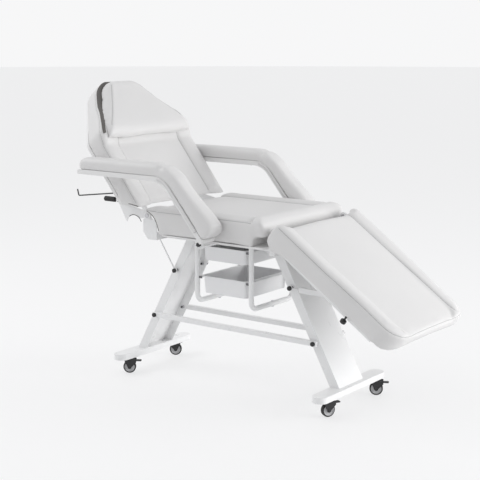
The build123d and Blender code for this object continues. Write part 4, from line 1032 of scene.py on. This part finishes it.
seat = pad("seat_pad", moved_x(seat_grid()), ["seat_cushion"], "bed", large_cells, large_cap, seat_seams())
back = pad("back_pad", back_grid(), ["back_cushion"], "backrest", large_cells, large_cap, back_seams())
pillow = on_back(pillow_grid())
pad("head_pad", pillow, ["head_pillow"], "backrest", pillow_cells, small_cap, pillow_seams())
# Dark layer under the pillow: painted shade for the gap between pillow and head
pad("head_shade_layer", on_back(shade_layer_grid()), ["head_pillow"], "backrest", 0.0, 0.0, cover=painted_shade_dark)
legrest_nodes = ["legrest_cushion", "legrest_board"]
pad("legrest_pad", legrest_grid(), legrest_nodes, "legrest", large_cells, large_cap, legrest_seams())
for name, side in (("near", -1), ("far", 1)):
    body = f"armrest_{name}"
    pad(f"{body}_pad", armrest_grid(side), [f"{body}_cushion"], body, small_cells, small_cap)
    for edge, place in ((-1, "inner"), (1, "outer")):
        strip = grid_mesh(f"{body}_{place}_edging", armrest_edging(side, edge * side))
        trim(strip, white_hide, body)
    for k, x in enumerate(arm_bolts):
        centre = (x + shift, side * (arm_inner + arm_wide / 2 - 0.002), arm_bottom)
        bolt = bolt_head(f"{body}_bolt_{k + 1}", centre, (0, 0, -1), bolt_radius, bolt_tall)
        trim(bolt, black_moulded, body)

# Dark lines round the near hinge, painted shade: along the seat's scoop, where a piping line is coloured as
# shade, the shadow gap under the backrest's heel and the shaded edge of the steel arm's notch


def shade_line(name, points, piece, body):
    """Thin dark line of painted shade along the nearest places of a padded piece's near side, given as (x, z)
    points.
    """
    points = np.array(points)
    path = line_on(moved_x, points[:, 0], -half_width - shade_line_out, points[:, 1])
    line = tube(name, settled(path, piece, 0.004), shade_line_radius, 8)
    trim(line, painted_shade_dark, body)


bend = np.radians(np.linspace(72, 4, 30))
scoop_edge = np.stack([scoop_x + scoop_radius * np.cos(bend), scoop_z + scoop_radius * np.sin(bend)], -1)
# Piping along the seat's scoop, coloured dark as painted shade
shade_line("seat_scoop_shade_line", scoop_edge, seat, "bed")
# Dark line under the backrest's heel: painted shade of the gap over the seat
shade_line("back_heel_shade_line", heel_line, back, "backrest")
arch = np.radians(np.linspace(2, 104, 26))
arch_along = notch_along + notch_radius * np.cos(arch)
arch_edge = line_on(on_back, arch_along, notch_side, notch_height + notch_radius * np.sin(arch))
# Black line along the notch's arch: painted shade at the notch's edge
trim(tube("back_arm_notch_shade_line", arch_edge, 0.0014, 8), black_moulded, "backrest")

# Floor, light and camera


def seen_directly(tree):
    """1 where the camera, or gloss that mirrors the surroundings, looks; 0 for the light on the chair."""
    path = tree.nodes.new("ShaderNodeLightPath")
    seen = tree.nodes.new("ShaderNodeMath")
    seen.operation = "MAXIMUM"
    tree.links.new(path.outputs["Is Camera Ray"], seen.inputs[0])
    tree.links.new(path.outputs["Is Glossy Ray"], seen.inputs[1])
    return seen.outputs["Value"]


def pale_floor(colour, glow):
    """Matte floor that keeps its shadow; what is seen of it is mixed with near white by the share glow."""
    material = bpy.data.materials.new("pale floor")
    material.use_nodes = True
    tree = material.node_tree
    make, link = tree.nodes.new, tree.links.new
    shader = tree.nodes["Principled BSDF"]
    shader.inputs["Base Color"].default_value = (*colour, 1)
    shader.inputs["Roughness"].default_value = 0.6
    share = make("ShaderNodeMath")
    share.operation = "MULTIPLY"
    share.inputs[1].default_value = glow
    link(seen_directly(tree), share.inputs[0])
    white, mix = make("ShaderNodeEmission"), make("ShaderNodeMixShader")
    white.inputs["Color"].default_value = (0.97, 0.97, 0.975, 1)
    link(share.outputs["Value"], mix.inputs["Fac"])
    link(shader.outputs["BSDF"], mix.inputs[1])
    link(white.outputs["Emission"], mix.inputs[2])
    link(mix.outputs["Shader"], tree.nodes["Material Output"].inputs["Surface"])
    return material


def floor_disc():
    """Wide floor: a disc of rings about the chair, level with the wheels' lowest point."""
    turn = np.linspace(0, 2 * np.pi, 96, endpoint=False)
    radius = np.array([0.0001, 2, 5, 12, 40])[:, None]
    level = np.zeros((len(radius), len(turn)))
    grid = np.stack([radius * np.cos(turn), radius * np.sin(turn), level], -1)
    floor = grid_mesh("studio_floor", grid)
    paint(floor, pale_floor((0.90, 0.90, 0.90), 0.66))


def lamp(name, place, aim, size, power):
    """Soft square light that faces a point."""
    data = bpy.data.lights.new(name, "AREA")
    data.shape = "SQUARE"
    data.size = size
    data.energy = power
    light = bpy.data.objects.new(name, data)
    light.location = place
    light.rotation_mode = "QUATERNION"
    light.rotation_quaternion = (Vector(aim) - Vector(place)).to_track_quat("-Z", "Y")
    bpy.context.scene.collection.objects.link(light)


def sky(strength):
    """Even pale surroundings: light of the given strength, seen as near white by the camera and gloss."""
    world = bpy.data.worlds.new("studio")
    world.use_nodes = True
    tree = world.node_tree
    tree.nodes.clear()
    make, link = tree.nodes.new, tree.links.new
    soft, shown, mix = make("ShaderNodeBackground"), make("ShaderNodeBackground"), make("ShaderNodeMixShader")
    soft.inputs["Color"].default_value = (0.97, 0.98, 1.0, 1)
    soft.inputs["Strength"].default_value = strength
    shown.inputs["Color"].default_value = (0.93, 0.93, 0.935, 1)
    shown.inputs["Strength"].default_value = 1.0
    link(seen_directly(tree), mix.inputs["Fac"])
    link(soft.outputs["Background"], mix.inputs[1])
    link(shown.outputs["Background"], mix.inputs[2])
    out = make("ShaderNodeOutputWorld")
    link(mix.outputs["Shader"], out.inputs["Surface"])
    bpy.context.scene.world = world


def camera():
    """Camera at the photograph's station: heading and pitch as a turn about Z after a tilt from level."""
    data = bpy.data.cameras.new("view")
    data.lens = 91.3235
    data.sensor_width = 36
    data.shift_y = -0.05
    data.clip_end = 100
    holder = bpy.data.objects.new("view", data)
    holder.location = (3.002828 + shift, -4.068466, 1.522840)
    holder.rotation_euler = (math.radians(90 - 8.949), 0, math.radians(36.696))
    bpy.context.scene.collection.objects.link(holder)
    bpy.context.scene.camera = holder


floor_disc()
sky(0.66)
lamp("low", (4.4, 2.2, 1.4), (0, 0, 0.6), 3.0, 150)
lamp("window", (-3.4, -1.8, 3.8), (0, 0, 0.7), 3.0, 70)
camera()
bpy.context.scene.view_settings.view_transform = "Standard"
